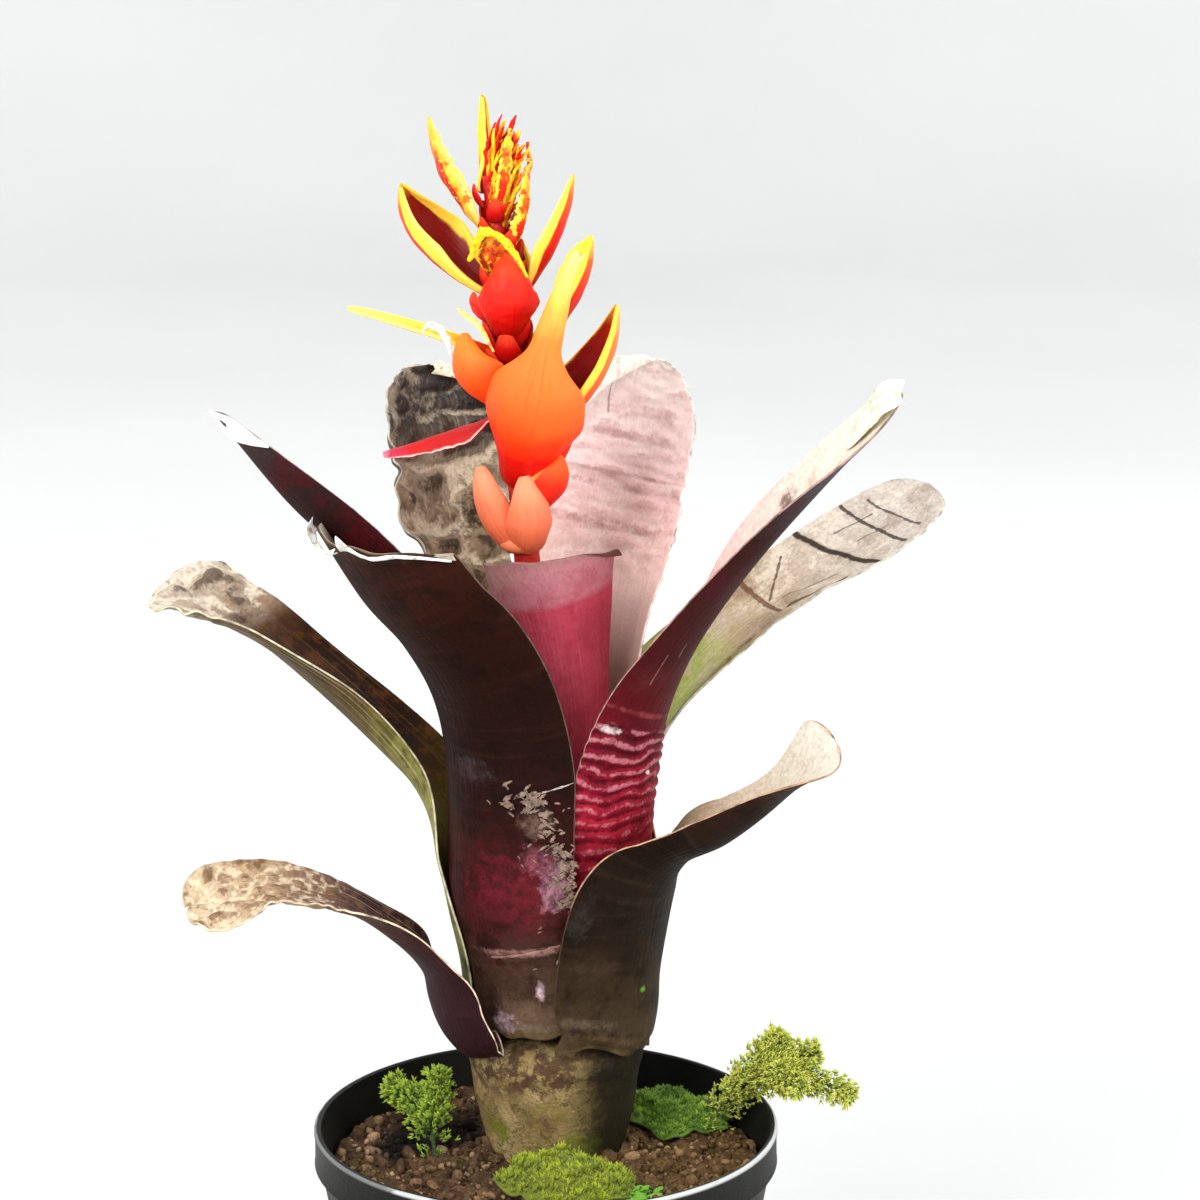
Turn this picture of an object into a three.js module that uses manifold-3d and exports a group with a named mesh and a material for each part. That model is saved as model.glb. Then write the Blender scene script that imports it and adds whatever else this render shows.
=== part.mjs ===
// A flowering bromeliad in a plastic nursery pot. Millimetres, +Z up, origin at the middle of the pot's base.
// The viewer stands at -Y, so +X is on the viewer's right.
// Strap leaves wrap one another into an upright tube on a short stump. An orange flower spike stands in the cup.
import * as THREE from "three";
import { mergeVertices } from "three/addons/utils/BufferGeometryUtils.js";
import Module from "manifold-3d";

const wasm = await Module();
wasm.setup();

// Driving dimensions.
const POT = { rimRadius: 75, height: 130, baseRadius: 53, wall: 1.8, lipHeight: 13, lipStep: 2.2, sides: 44 };
const HOLES = { count: 6, radius: 5, ring: 36 }; // drain holes in the pot's base
const GAP = 0.4; // clearance between neighbouring pieces
const PLANT = { x: 3, y: 12 }; // the tube's axis, a little behind the pot's middle
const SOIL = { level: 117, clod: 1.5, rings: 8, spokes: 34 };
const STUMP_TOP = 161; // the stump's shoulder, where the innermost leaves stand
const LEAF = { base: 1.2, tip: 0.9, columns: 10 }; // thickness at both ends, and faces across
const BRACT = { thickness: 1, rows: 6, columns: 6 };

const radians = (degrees) => (degrees * Math.PI) / 180;
const clamp01 = (x) => Math.min(1, Math.max(0, x));
const smooth = (x) => clamp01(x) ** 2 * (3 - 2 * clamp01(x));
const mix = (a, b, t) => a + (b - a) * t;

// A seeded random number from 0 to 1.
function seeded(seed) {
  let state = seed;
  return () => {
    state = (state * 1664525 + 1013904223) % 4294967296;
    return state / 4294967296;
  };
}

// Solids.

function solidOf(geometry) {
  const bare = geometry.index ? geometry.toNonIndexed() : geometry;
  const plain = new THREE.BufferGeometry().setAttribute("position", bare.getAttribute("position"));
  const merged = mergeVertices(plain, 1e-4);
  const triVerts = new Uint32Array(merged.index.array);
  const mesh = new wasm.Mesh({ numProp: 3, vertProperties: merged.attributes.position.array, triVerts });
  return new wasm.Manifold(mesh);
}

function geometryOf(solid) {
  const { numProp, vertProperties, triVerts } = solid.getMesh();
  const count = vertProperties.length / numProp;
  const positions = new Float32Array(count * 3);
  for (let i = 0; i < count; i++) {
    positions.set(vertProperties.subarray(i * numProp, i * numProp + 3), i * 3);
  }
  const geometry = new THREE.BufferGeometry().setAttribute("position", new THREE.BufferAttribute(positions, 3));
  geometry.setIndex(new THREE.BufferAttribute(triVerts, 1));
  geometry.computeVertexNormals();
  return geometry;
}

function indexed(points, faces) {
  const positions = new Float32Array(points.flatMap((p) => [p.x, p.y, p.z]));
  const geometry = new THREE.BufferGeometry().setAttribute("position", new THREE.BufferAttribute(positions, 3));
  return geometry.setIndex(faces);
}

// A profile of [radius, height] pairs, from the bottom of the axis to the top, turned about the vertical at x, y.
function turned(profile, sides, x = 0, y = 0) {
  const lathe = new THREE.LatheGeometry(profile.map(([r, z]) => new THREE.Vector2(r, z)), sides);
  return lathe.rotateX(Math.PI / 2).translate(x, y, 0);
}

// The faces between rings of points, with a cap at both ends.
function ringFaces(steps, sides) {
  const faces = [];
  for (let i = 0; i < steps; i++) {
    for (let j = 0; j < sides; j++) {
      const [a, b] = [i * sides + j, i * sides + ((j + 1) % sides)];
      faces.push(a, b, a + sides, b, b + sides, a + sides);
    }
  }
  const last = steps * sides;
  for (let j = 1; j < sides - 1; j++) {
    faces.push(0, j + 1, j, last, last + j, last + j + 1);
  }
  return faces;
}

// A round stem through points with a radius at each, closed by a cap at both ends.
function stem(points, radii, sides, steps) {
  const curve = new THREE.CatmullRomCurve3(points);
  const ringPoints = [];
  for (let i = 0; i <= steps; i++) {
    const centre = curve.getPoint(i / steps);
    const along = curve.getTangent(i / steps);
    const across = new THREE.Vector3(0, 1, 0).cross(along).normalize();
    const other = along.clone().cross(across);
    const radius = mix(radii[0], radii[1], i / steps);
    for (let j = 0; j < sides; j++) {
      const angle = (2 * Math.PI * j) / sides;
      const offset = across.clone().multiplyScalar(Math.cos(angle) * radius);
      ringPoints.push(centre.clone().add(offset).addScaledVector(other, Math.sin(angle) * radius));
    }
  }
  return indexed(ringPoints, ringFaces(steps, sides));
}

// Sheets: leaves and bracts.

// One value of a smooth curve through evenly spaced stations, at t from 0 to the last station's number.
function through(values, t) {
  const i = Math.min(Math.floor(t), values.length - 2);
  const f = t - i;
  const [a, b, c, d] = [i - 1, i, i + 1, i + 2].map((k) => values[Math.min(Math.max(k, 0), values.length - 1)]);
  return 0.5 * (2 * b + (c - a) * f + (2 * a - 5 * b + 4 * c - d) * f * f + (3 * b - a - 3 * c + d) * f ** 3);
}

// A closed sheet. section(t) gives the spine's point, its direction, the side direction, the half width along the
// arched section, the arch's half angle, the thickness, pull(v), which moves a column back along the spine, and
// wave(v), which moves it off the sheet.
function sheet(section, ts, columns) {
  const inner = [];
  const outer = [];
  for (const t of ts) {
    const { point, along, side, half, fold, thickness, pull, wave } = section(t);
    const hollow = along.clone().cross(side); // towards the arch's centre
    const radius = half / fold;
    for (let j = 0; j <= columns; j++) {
      const v = (2 * j) / columns - 1;
      const [sin, cos] = [Math.sin(v * fold), Math.cos(v * fold)];
      const middle = point.clone().addScaledVector(side, radius * sin).addScaledVector(hollow, radius * (1 - cos));
      if (pull) middle.addScaledVector(along, -pull(v));
      const normal = hollow.clone().multiplyScalar(cos).addScaledVector(side, -sin);
      if (wave) middle.addScaledVector(normal, wave(v));
      const depth = (thickness * (1 - 0.3 * v ** 4)) / 2;
      inner.push(middle.clone().addScaledVector(normal, depth));
      outer.push(middle.clone().addScaledVector(normal, -depth));
    }
  }
  const wide = columns + 1;
  const count = inner.length;
  const last = (ts.length - 1) * wide;
  const faces = [];
  const wall = (a, b) => faces.push(a, b, count + b, a, count + b, count + a);
  for (let i = 0; i < ts.length - 1; i++) {
    for (let j = 0; j < columns; j++) {
      const [a, b, c, d] = [i * wide + j, i * wide + j + 1, (i + 1) * wide + j, (i + 1) * wide + j + 1];
      faces.push(a, b, d, a, d, c, count + a, count + d, count + b, count + a, count + c, count + d);
    }
    wall(i * wide, (i + 1) * wide);
    wall((i + 1) * wide + columns, i * wide + columns);
  }
  for (let j = 0; j < columns; j++) {
    wall(j + 1, j);
    wall(last + j, last + j + 1);
  }
  faces.reverse(); // so that they face out
  return indexed([...inner, ...outer], faces);
}

// Leaves. A station is [azimuth, distance from the tube's axis, height, half width, fold, twist], in degrees and mm.
// Half width 0 means that the leaf lies on the tube there, wrapped by the fold angle to each side.
// crumple is how far the blade's edges wave.
// steps is the number of rows from each station to the next. tip rounds off that share of the last stretch.
// Azimuth 0 is the viewer's right, 90 the back, 180 the left and 270 the front.
const LEAVES = {
  leaf_grey_back: {
    stations: [
      [140, 15.3, 166, 0, 62, 0], [140, 15.3, 205, 0, 62, 0], [140, 15.3, 245, 0, 62, 0], [141, 18, 278, 16, 44, 0],
      [142, 29, 302, 18, 36, 0], [140, 41, 323, 25, 34, 0], [136, 50, 345, 28, 38, 0], [133, 52, 369, 23, 46, 0],
    ],
    steps: [1, 1, 2, 2, 3, 4, 5],
    tip: 0.7,
    crumple: 3,
  },
  leaf_magenta_front: {
    stations: [
      [286, 17.1, 165, 0, 74, 0], [286, 17.1, 195, 0, 74, 0], [285, 13, 215, 0, 74, 0], [284, 11.3, 240, 0, 74, 0],
      [278, 11.6, 275, 23, 74, 0], [270, 13, 300, 24, 70, 0], [263, 16, 325, 25, 62, 0],
    ],
    steps: [1, 1, 1, 2, 2, 3],
    tip: 0,
    ragged: { seed: 3, depth: 1.5, slant: 7 },
  },
  leaf_pink_upright: {
    stations: [
      [62, 18.9, 164.5, 0, 75, 0], [62, 18.9, 205, 0, 75, 0], [62, 18.9, 240, 0, 75, 0], [58, 20, 275, 26, 60, 0],
      [57, 28, 302, 25, 46, 0], [57, 37, 326, 25, 38, 4], [57, 43, 348, 24, 38, 8], [57, 48, 371, 20, 52, 12],
    ],
    steps: [1, 1, 2, 2, 2, 2, 4],
    tip: 0.75,
  },
  leaf_upper_left: {
    stations: [
      [190, 20.7, 163.5, 0, 70, 0], [190, 20.7, 205, 0, 70, 0], [190, 20.9, 240, 0, 70, 0], [192, 26, 272, 28, 52, 0],
      [194, 39, 298, 23, 42, 0], [193, 55, 324, 18, 40, 0], [194, 78, 344, 13, 45, 8], [195, 101, 365, 8, 30, 50],
    ],
    steps: [1, 1, 2, 2, 2, 2, 4],
    tip: 0.4,
  },
  leaf_green_right: {
    stations: [
      [44, 22.5, 162.5, 0, 60, 0], [44, 22.5, 195, 0, 58, 0], [42, 22.5, 228, 0, 40, 0], [36, 28, 251, 22, 40, 0],
      [30, 45, 272, 20, 34, 6], [27, 73, 293, 18, 24, 10], [25, 103, 309, 18, 20, 12], [24, 132, 325, 15, 20, 12],
    ],
    steps: [1, 1, 2, 2, 2, 2, 4],
    tip: 0.6,
  },
  leaf_right_up: {
    stations: [
      [318, 24.3, 161.5, 0, 58, 0], [318, 24.3, 195, 0, 54, 0], [318, 25, 228, 0, 42, 0], [320, 29, 255, 22, 38, 0],
      [330, 39, 282, 22, 46, 0], [335, 59, 314, 19, 52, 8], [335, 85, 346, 13, 50, 14], [335, 111, 376, 7, 26, 50],
    ],
    steps: [1, 1, 2, 2, 2, 2, 4],
    tip: 0.35,
  },
  leaf_back_high: {
    stations: [
      [95, 26.1, 160.5, 0, 60, 0], [95, 26.1, 185, 0, 48, 0], [95, 26.3, 207, 0, 37, 0], [95, 29, 229, 0, 30, 0],
      [96, 39, 250, 18, 36, 0], [97, 55, 266, 15, 30, 0], [98, 74, 275, 13, 26, 0], [99, 93, 277, 10, 24, 0],
    ],
    steps: [1, 1, 1, 2, 2, 2, 4],
    tip: 0.7,
  },
  leaf_torn_front: {
    stations: [
      [206, 27.9, 159, 0, 74, 0], [206, 27.9, 195, 0, 74, 0], [207, 27.9, 220, 0, 74, 0], [208, 28.4, 248, 0, 74, 0],
      [210, 33, 270, 43, 72, 0], [212, 44, 289, 43, 68, 0], [213, 58, 305, 42, 64, 0], [214, 74, 329, 40, 58, 0],
    ],
    steps: [1, 1, 2, 2, 2, 2, 3],
    tip: 0,
    ragged: { seed: 11, depth: 3, slant: 12 },
  },
  leaf_left_mid: {
    stations: [
      [158, 29.7, 157, 0, 50, 0], [158, 29.7, 190, 0, 46, 0], [155, 31, 212, 0, 36, 0], [152, 44, 232, 15, 40, 0],
      [150, 70, 251, 16, 40, 0], [150, 102, 272, 15, 36, 0], [150, 130, 285, 13, 26, 0], [150, 150, 294, 12, 16, 0],
    ],
    steps: [1, 2, 2, 2, 2, 2, 4],
    tip: 0.7,
    crumple: 1.4,
  },
  leaf_back_low: {
    stations: [
      [66, 31.5, 155, 0, 60, 0], [66, 31.5, 180, 0, 52, 0], [68, 31.5, 205, 0, 44, 0], [74, 36, 227, 22, 40, 0],
      [78, 56, 239, 17, 36, 0], [80, 78, 241, 13, 30, 0], [81, 99, 235, 10, 26, 0],
    ],
    steps: [1, 1, 2, 2, 2, 4],
    tip: 0.7,
  },
  leaf_lower_right: {
    stations: [
      [330, 33.2, 147, 0, 60, 0], [330, 33.3, 180, 0, 60, 0], [331, 33, 206, 0, 54, 0], [336, 39, 219, 30, 50, 0],
      [339, 53, 227, 24, 62, 0], [341, 70, 242, 17, 62, 8], [341, 87, 262, 11, 26, 45],
    ],
    steps: [1, 1, 2, 2, 2, 4],
    tip: 0.6,
  },
  leaf_lower_left: {
    stations: [
      [201, 32.2, 143, 0, 40, 0], [201, 34, 151, 0, 42, 0], [201, 38.5, 160, 0, 42, 0], [200, 41, 170, 0, 38, 0],
      [198, 43, 181, 26, 36, 0], [195, 50, 192, 18, 40, 0], [193, 63, 203, 12, 44, -6], [192, 82, 210, 12, 30, -18],
      [192, 99, 210, 13, 24, -24], [192, 115, 206, 11, 24, -24],
    ],
    steps: [1, 1, 1, 1, 2, 2, 2, 2, 4],
    tip: 0.7,
    notch: { at: -0.45, width: 0.3, depth: 5 },
    crumple: 1.2,
  },
};

// Every sheath leans in by the same amount where it meets the stump, and out by the same amount higher up.
const lean = (z) => 6 * smooth((z - 172) / 40) - 3 * clamp01((172 - z) / 20) ** 2;

function leafSection({ stations, tip, ragged, notch, crumple = 0.6 }) {
  const spans = stations.length - 1;
  const point = (t) => {
    const azimuth = radians(through(stations.map((s) => s[0]), t));
    const height = through(stations.map((s) => s[2]), t);
    const distance = through(stations.map((s) => s[1]), t) + lean(height);
    return new THREE.Vector3(PLANT.x + distance * Math.cos(azimuth), PLANT.y + distance * Math.sin(azimuth), height);
  };
  const halves = stations.map(([, distance, height, half, fold]) => half || (distance + lean(height)) * radians(fold));
  const foldAt = (t) => radians(through(stations.map((s) => s[4]), t));
  const halfAt = (t) => {
    const i = Math.min(Math.floor(t), spans - 1);
    if (stations[i][3] || stations[i + 1][3]) return through(halves, t);
    const height = through(stations.map((s) => s[2]), t);
    return (through(stations.map((s) => s[1]), t) + lean(height)) * foldAt(t);
  };
  const random = ragged && seeded(ragged.seed);
  const teeth = ragged && Array.from({ length: LEAF.columns + 1 }, () => random() * ragged.depth);
  return (t) => {
    const step = 0.01;
    const along = point(Math.min(t + step, spans)).sub(point(Math.max(t - step, 0))).normalize();
    const azimuth = radians(through(stations.map((s) => s[0]), t));
    const level = new THREE.Vector3(-Math.sin(azimuth), Math.cos(azimuth), 0);
    const side = level.addScaledVector(along, -level.dot(along)).normalize();
    side.applyAxisAngle(along, radians(through(stations.map((s) => s[5]), t)));
    const near = clamp01((t - (spans - tip)) / (tip || 1)); // how far into the rounded tip
    const round = tip ? Math.sqrt(1 - (0.985 * near) ** 2) : 1;
    const end = clamp01(t - spans + 1) ** 3;
    const free = smooth((t - 3) / 1.5) * round; // sheaths stay smooth
    return {
      point: point(t),
      along,
      side,
      half: halfAt(t) * round,
      fold: foldAt(t) * mix(1, round, 0.8),
      thickness: mix(LEAF.base, LEAF.tip, t / spans),
      pull: (v) => {
        if (ragged) return end * (teeth[Math.round(((v + 1) / 2) * LEAF.columns)] + (ragged.slant ?? 0) * v * v);
        if (notch) return end * notch.depth * Math.max(0, 1 - Math.abs(v - notch.at) / notch.width);
        return 0;
      },
      wave: (v) => free * crumple * v * v * Math.sin(3 * t + 2.5 * v + spans),
    };
  };
}

function leaf(shape) {
  const ts = [0];
  shape.steps.forEach((count, i) => {
    const last = i === shape.steps.length - 1;
    for (let k = 1; k <= count; k++) {
      const share = k / count;
      ts.push(i + (last && shape.tip ? 1 - (1 - share) ** 1.6 : share));
    }
  });
  return sheet(leafSection(shape), ts, LEAF.columns);
}

// Flower spike.

const SCAPE = {
  points: [[3, 12, 161.4], [1, 8, 240], [-5, 2, 312], [-9, 0, 360], [-12, 0, 400], [-16, 1, 436]],
  radii: [5.2, 2.6],
  sides: 10,
  steps: 12,
};
const scapeCurve = new THREE.CatmullRomCurve3(SCAPE.points.map((p) => new THREE.Vector3(...p)));

// The scape's centre and radius at a height.
function scapeAt(height) {
  let [low, high] = [0, 1];
  for (let i = 0; i < 30; i++) {
    const middle = (low + high) / 2;
    if (scapeCurve.getPoint(middle).z < height) low = middle;
    else high = middle;
  }
  return { centre: scapeCurve.getPoint(low), radius: mix(SCAPE.radii[0], SCAPE.radii[1], low) };
}

// Boat-shaped bracts, from the lowest. at is the height on the scape, azimuth the way the bract points, out and up
// its tip from its base, bow how far the keel swells from the line between them, aside its tip's shift.
const BRACTS = {
  bract_salmon_left: { at: 324, azimuth: 232, out: 9, up: 21, aside: -7, bow: 6, half: 10, fold: 74 },
  bract_salmon_right: { at: 323, azimuth: 292, out: 9, up: 21, aside: -3, bow: 6, half: 10, fold: 74 },
  bract_egg: { at: 335, azimuth: 260, out: 7, up: 80, aside: 19, bow: 17, half: 20.5, fold: 68, neck: 0.42 },
  bract_back_low: { at: 342, azimuth: 80, out: 17, up: 42, aside: 0, bow: 8, half: 14, fold: 75 },
  bract_right_low: { at: 352, azimuth: 350, out: 27, up: 44, aside: 0, bow: 8, half: 16, fold: 62 },
  bract_red_left: { at: 361, azimuth: 175, out: 37, up: -10, aside: 0, bow: -3, half: 5.5, fold: 55 },
  bract_knob_left: { at: 364, azimuth: 222, out: 9, up: 23, aside: -5, bow: 7, half: 13, fold: 72 },
  bract_needle_left: { at: 380, azimuth: 160, out: 43, up: 15, aside: 16, bow: -3, half: 4.5, fold: 50 },
  bract_right_mid: { at: 378, azimuth: 10, out: 21, up: 38, aside: 0, bow: 5, half: 11, fold: 65 },
  bract_dark_left: { at: 390, azimuth: 186, out: 14, up: 11, aside: 0, bow: 4, half: 8, fold: 60 },
  bract_ball_front: { at: 386, azimuth: 274, out: 6, up: 26, aside: 0, bow: 9, half: 13, fold: 70 },
  bract_back_high: { at: 390, azimuth: 90, out: 12, up: 30, aside: 0, bow: 6, half: 12, fold: 75 },
  bract_right_narrow: { at: 397, azimuth: 5, out: 17, up: 38, aside: 0, bow: 4, half: 10, fold: 65 },
  bract_boat_left: { at: 399, azimuth: 155, out: 23, up: 34, aside: 14, bow: 9, half: 16, fold: 58 },
  bract_yellow_front: { at: 405, azimuth: 258, out: 6, up: 15, aside: 0, bow: 3, half: 8, fold: 60 },
  bract_tuft_low: { at: 413, azimuth: 325, out: 6, up: 25, aside: 0, bow: 3, half: 8, fold: 60 },
  bract_top_left: { at: 418, azimuth: 185, out: 17, up: 37, aside: 0, bow: 4, half: 9, fold: 60 },
  bract_tuft_mid: { at: 419, azimuth: 15, out: 6, up: 27, aside: 0, bow: 3, half: 7, fold: 60 },
  bract_tuft_front: { at: 425, azimuth: 280, out: 4, up: 28, aside: 0, bow: 3, half: 7, fold: 60 },
  bract_top: { at: 430, azimuth: 120, out: 3, up: 30, aside: 0, bow: 3, half: 7, fold: 65 },
};

function bractSection({ at, azimuth, out, up, aside, bow, half, fold, neck = 1 }) {
  const { centre, radius } = scapeAt(at);
  const outward = new THREE.Vector3(Math.cos(radians(azimuth)), Math.sin(radians(azimuth)), 0);
  const sideways = new THREE.Vector3(-outward.y, outward.x, 0);
  const base = centre.addScaledVector(outward, radius + GAP + BRACT.thickness / 2);
  const tip = base.clone().addScaledVector(outward, out).addScaledVector(sideways, aside).setZ(base.z + up);
  const swell = base.clone().add(tip).multiplyScalar(0.5).addScaledVector(outward, 2 * bow);
  const spine = new THREE.QuadraticBezierCurve3(base, swell, tip);
  const clasp = (0.4 * half) / (radius + 1.6); // at its base the bract is bent round the scape
  return (t) => {
    const along = spine.getTangent(t);
    return {
      point: spine.getPoint(t),
      along,
      side: along.clone().cross(outward).normalize(),
      half: half * mix(0.4, 1, smooth(t / 0.4)) * mix(1, neck, smooth((t - 0.4) / 0.25)) * (1 - (0.985 * t) ** 2.4) ** 0.8,
      fold: mix(clasp, radians(fold), smooth(t / 0.35)),
      thickness: BRACT.thickness,
    };
  };
}

function bract(shape) {
  const ts = Array.from({ length: BRACT.rows + 1 }, (_, i) => i / BRACT.rows);
  return sheet(bractSection(shape), ts, BRACT.columns);
}

// Pot, soil and stump.

function pot() {
  const { rimRadius, height, baseRadius, wall, lipHeight, lipStep } = POT;
  const lipBottom = height - lipHeight;
  const wallTop = rimRadius - lipStep;
  const profile = [
    [0, 0], [baseRadius - 1.5, 0], [baseRadius, 1.5], [wallTop, lipBottom], [rimRadius, lipBottom + 0.8],
    [rimRadius, height - 0.8], [rimRadius - 0.8, height], [rimRadius - lipStep, height],
    [wallTop - wall, lipBottom], [baseRadius - wall, 2.4], [0, 2.4],
  ];
  let body = solidOf(turned(profile, POT.sides));
  for (let i = 0; i < HOLES.count; i++) {
    const angle = (2 * Math.PI * (i + 0.5)) / HOLES.count;
    const drill = new THREE.CylinderGeometry(HOLES.radius, HOLES.radius, 8, 10).rotateX(Math.PI / 2);
    drill.translate(HOLES.ring * Math.cos(angle), HOLES.ring * Math.sin(angle), 1);
    body = body.subtract(solidOf(drill));
  }
  return geometryOf(body);
}

const potInside = (z) => {
  const low = POT.baseRadius - POT.wall;
  const high = POT.rimRadius - POT.lipStep - POT.wall;
  return mix(low, high, (z - 2.4) / (POT.height - POT.lipHeight - 2.4));
};

// The soil's surface: clods, a rise round the stump and two hollows beside it.
function soilHeight(x, y) {
  const [dx, dy] = [x - PLANT.x, y - PLANT.y];
  const rise = 5 * Math.exp(-(dx * dx + dy * dy) / 900);
  const hollowLeft = -5 * Math.exp(-((x + 36) ** 2 + (y - 22) ** 2) / 260);
  const hollowRight = -3 * Math.exp(-((x - 34) ** 2 + (y - 16) ** 2) / 120);
  const clods = Math.sin(x * 0.31 + 1.3 * Math.sin(y * 0.23)) * Math.sin(y * 0.37 + 1.1 * Math.sin(x * 0.19));
  return SOIL.level + rise + hollowLeft + hollowRight + SOIL.clod * clods;
}

function soil() {
  const { rings, spokes } = SOIL;
  const random = seeded(7);
  const bottom = 2.4 + GAP;
  const topRadius = potInside(SOIL.level - 3) - GAP - 0.6;
  const points = [new THREE.Vector3(0, 0, soilHeight(0, 0))];
  for (let i = 1; i <= rings; i++) {
    for (let j = 0; j < spokes; j++) {
      const angle = (2 * Math.PI * (j + 0.5 * (i % 2))) / spokes;
      const radius = (topRadius * i) / rings;
      const [x, y] = [radius * Math.cos(angle), radius * Math.sin(angle)];
      const edge = i === rings ? Math.min(soilHeight(x, y), SOIL.level - 1) : soilHeight(x, y) + 1.6 * (random() - 0.5);
      points.push(new THREE.Vector3(x, y, edge));
    }
  }
  const lowRadius = potInside(bottom) - GAP - 0.6;
  for (let j = 0; j < spokes; j++) {
    const angle = (2 * Math.PI * (j + 0.5 * (rings % 2))) / spokes;
    points.push(new THREE.Vector3(lowRadius * Math.cos(angle), lowRadius * Math.sin(angle), bottom));
  }
  const under = points.push(new THREE.Vector3(0, 0, bottom)) - 1;
  const faces = [];
  for (let j = 0; j < spokes; j++) {
    faces.push(0, 1 + j, 1 + ((j + 1) % spokes));
    for (let i = 1; i <= rings; i++) {
      const [a, b] = [1 + (i - 1) * spokes + j, 1 + (i - 1) * spokes + ((j + 1) % spokes)];
      faces.push(a, a + spokes, b, b, a + spokes, b + spokes);
    }
    const low = 1 + rings * spokes;
    faces.push(under, low + ((j + 1) % spokes), low + j);
  }
  return geometryOf(solidOf(indexed(points, faces)).subtract(solidOf(stump(GAP))));
}

// The short stem under the leaves, standing in the soil. grow makes it larger, to cut its hole.
function stump(grow = 0) {
  const profile = [
    [0, 88], [10, 90], [17, 98], [21.5, 112], [25, 126], [27.5, 138], [28.7, 147], [28.7, 152],
    [27.4, 155.6], [24, 158], [17, 160], [0, STUMP_TOP],
  ];
  const grown = profile.map(([r, z], i) => [r ? r + grow : 0, z + (i < 2 ? -grow : i > 9 ? grow : 0)]);
  return turned(grown, 22, PLANT.x, PLANT.y);
}

// Moss and club moss.

// A low cushion with a lobed outline that lies on the soil.
function cushion({ x, y, length, width, turn, height, seed }) {
  const [rings, spokes] = [4, 22];
  const random = seeded(seed);
  const lobes = Array.from({ length: spokes }, () => 0.82 + 0.3 * random());
  const top = [];
  const bottom = [];
  for (let i = 0; i <= rings; i++) {
    for (let j = 0; j < (i ? spokes : 1); j++) {
      const angle = (2 * Math.PI * j) / spokes;
      const reach = (i / rings) * lobes[j];
      const [u, v] = [length * reach * Math.cos(angle), width * reach * Math.sin(angle)];
      const px = x + u * Math.cos(turn) - v * Math.sin(turn);
      const py = y + u * Math.sin(turn) + v * Math.cos(turn);
      const floor = soilHeight(px, py) + 2.6;
      const swell = height * (1 - (i / rings) ** 2) * (0.8 + 0.4 * random());
      top.push(new THREE.Vector3(px, py, floor + 0.8 + swell));
      bottom.push(new THREE.Vector3(px, py, floor));
    }
  }
  const count = top.length;
  const faces = [];
  const at = (i, j) => (i ? 1 + (i - 1) * spokes + (j % spokes) : 0);
  for (let j = 0; j < spokes; j++) {
    faces.push(0, at(1, j), at(1, j + 1), count, count + at(1, j + 1), count + at(1, j));
    for (let i = 1; i < rings; i++) {
      const [a, b, c, d] = [at(i, j), at(i, j + 1), at(i + 1, j), at(i + 1, j + 1)];
      faces.push(a, c, b, b, c, d, count + a, count + b, count + c, count + b, count + d, count + c);
    }
    const [a, b] = [at(rings, j), at(rings, j + 1)];
    faces.push(a, count + a, b, b, count + a, count + b);
  }
  return indexed([...top, ...bottom], faces);
}

const CUSHIONS = {
  moss_front: { x: 8, y: -28, length: 25, width: 18, turn: -0.5, height: 5, seed: 21 },
  moss_back_right: { x: 38, y: 36, length: 17, width: 12, turn: 0.7, height: 4, seed: 22 },
};

// A leafy shoot: a thin stem whose rings carry small pointed leaves in turn.
function shoot({ points, radius, leafLength, rows, seed }) {
  const curve = new THREE.CatmullRomCurve3(points.map((p) => new THREE.Vector3(...p)));
  const random = seeded(seed);
  const sides = 6;
  const bodyPoints = [];
  for (let i = 0; i <= 2 * rows; i++) {
    const t = i / (2 * rows);
    const along = curve.getTangent(t);
    const across = new THREE.Vector3(0, 1, 0).cross(along).normalize();
    const other = along.clone().cross(across);
    for (let j = 0; j < sides; j++) {
      const angle = (2 * Math.PI * (j + 0.5 * (Math.floor(i / 2) % 2))) / sides;
      const leafHere = i % 2 && j % 2 === Math.floor(i / 2) % 2 && t > 0.12;
      const reach = leafHere ? leafLength * (0.7 + 0.5 * random()) : radius * (1 - 0.4 * t);
      const point = curve.getPoint(t).addScaledVector(across, reach * Math.cos(angle));
      point.addScaledVector(other, reach * Math.sin(angle)).addScaledVector(along, leafHere ? 0.5 * leafLength : 0);
      bodyPoints.push(point);
    }
  }
  return indexed(bodyPoints, ringFaces(2 * rows, sides));
}

const SHOOTS = {
  clubmoss_right: [
    { points: [[53, 21, 119], [60, 21, 129], [69, 20, 138], [82, 16, 141]], rows: 8, seed: 31 },
    { points: [[65, 21, 135], [72, 26, 143], [78, 28, 150]], rows: 5, seed: 32 },
    { points: [[77, 18, 140], [88, 14, 139], [100, 8, 135]], rows: 6, seed: 33 },
    { points: [[70, 20, 138], [77, 12, 141], [83, 5, 139]], rows: 4, seed: 34 },
    { points: [[72, 19, 139], [81, 24, 142], [90, 26, 144]], rows: 4, seed: 35 },
  ],
  clubmoss_left: [
    { points: [[-36, 0, 117], [-37, 4, 126], [-36, 8, 136], [-35, 10, 144]], rows: 7, seed: 36 },
    { points: [[-37, 4, 127], [-44, 8, 134], [-52, 12, 138]], rows: 4, seed: 37 },
  ],
};

function shoots(parts) {
  const bodies = parts.map((part) => solidOf(shoot({ radius: 1.2, leafLength: 4.5, ...part })));
  return geometryOf(bodies.reduce((all, body) => all.add(body)));
}

// Colours and finish.

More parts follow.
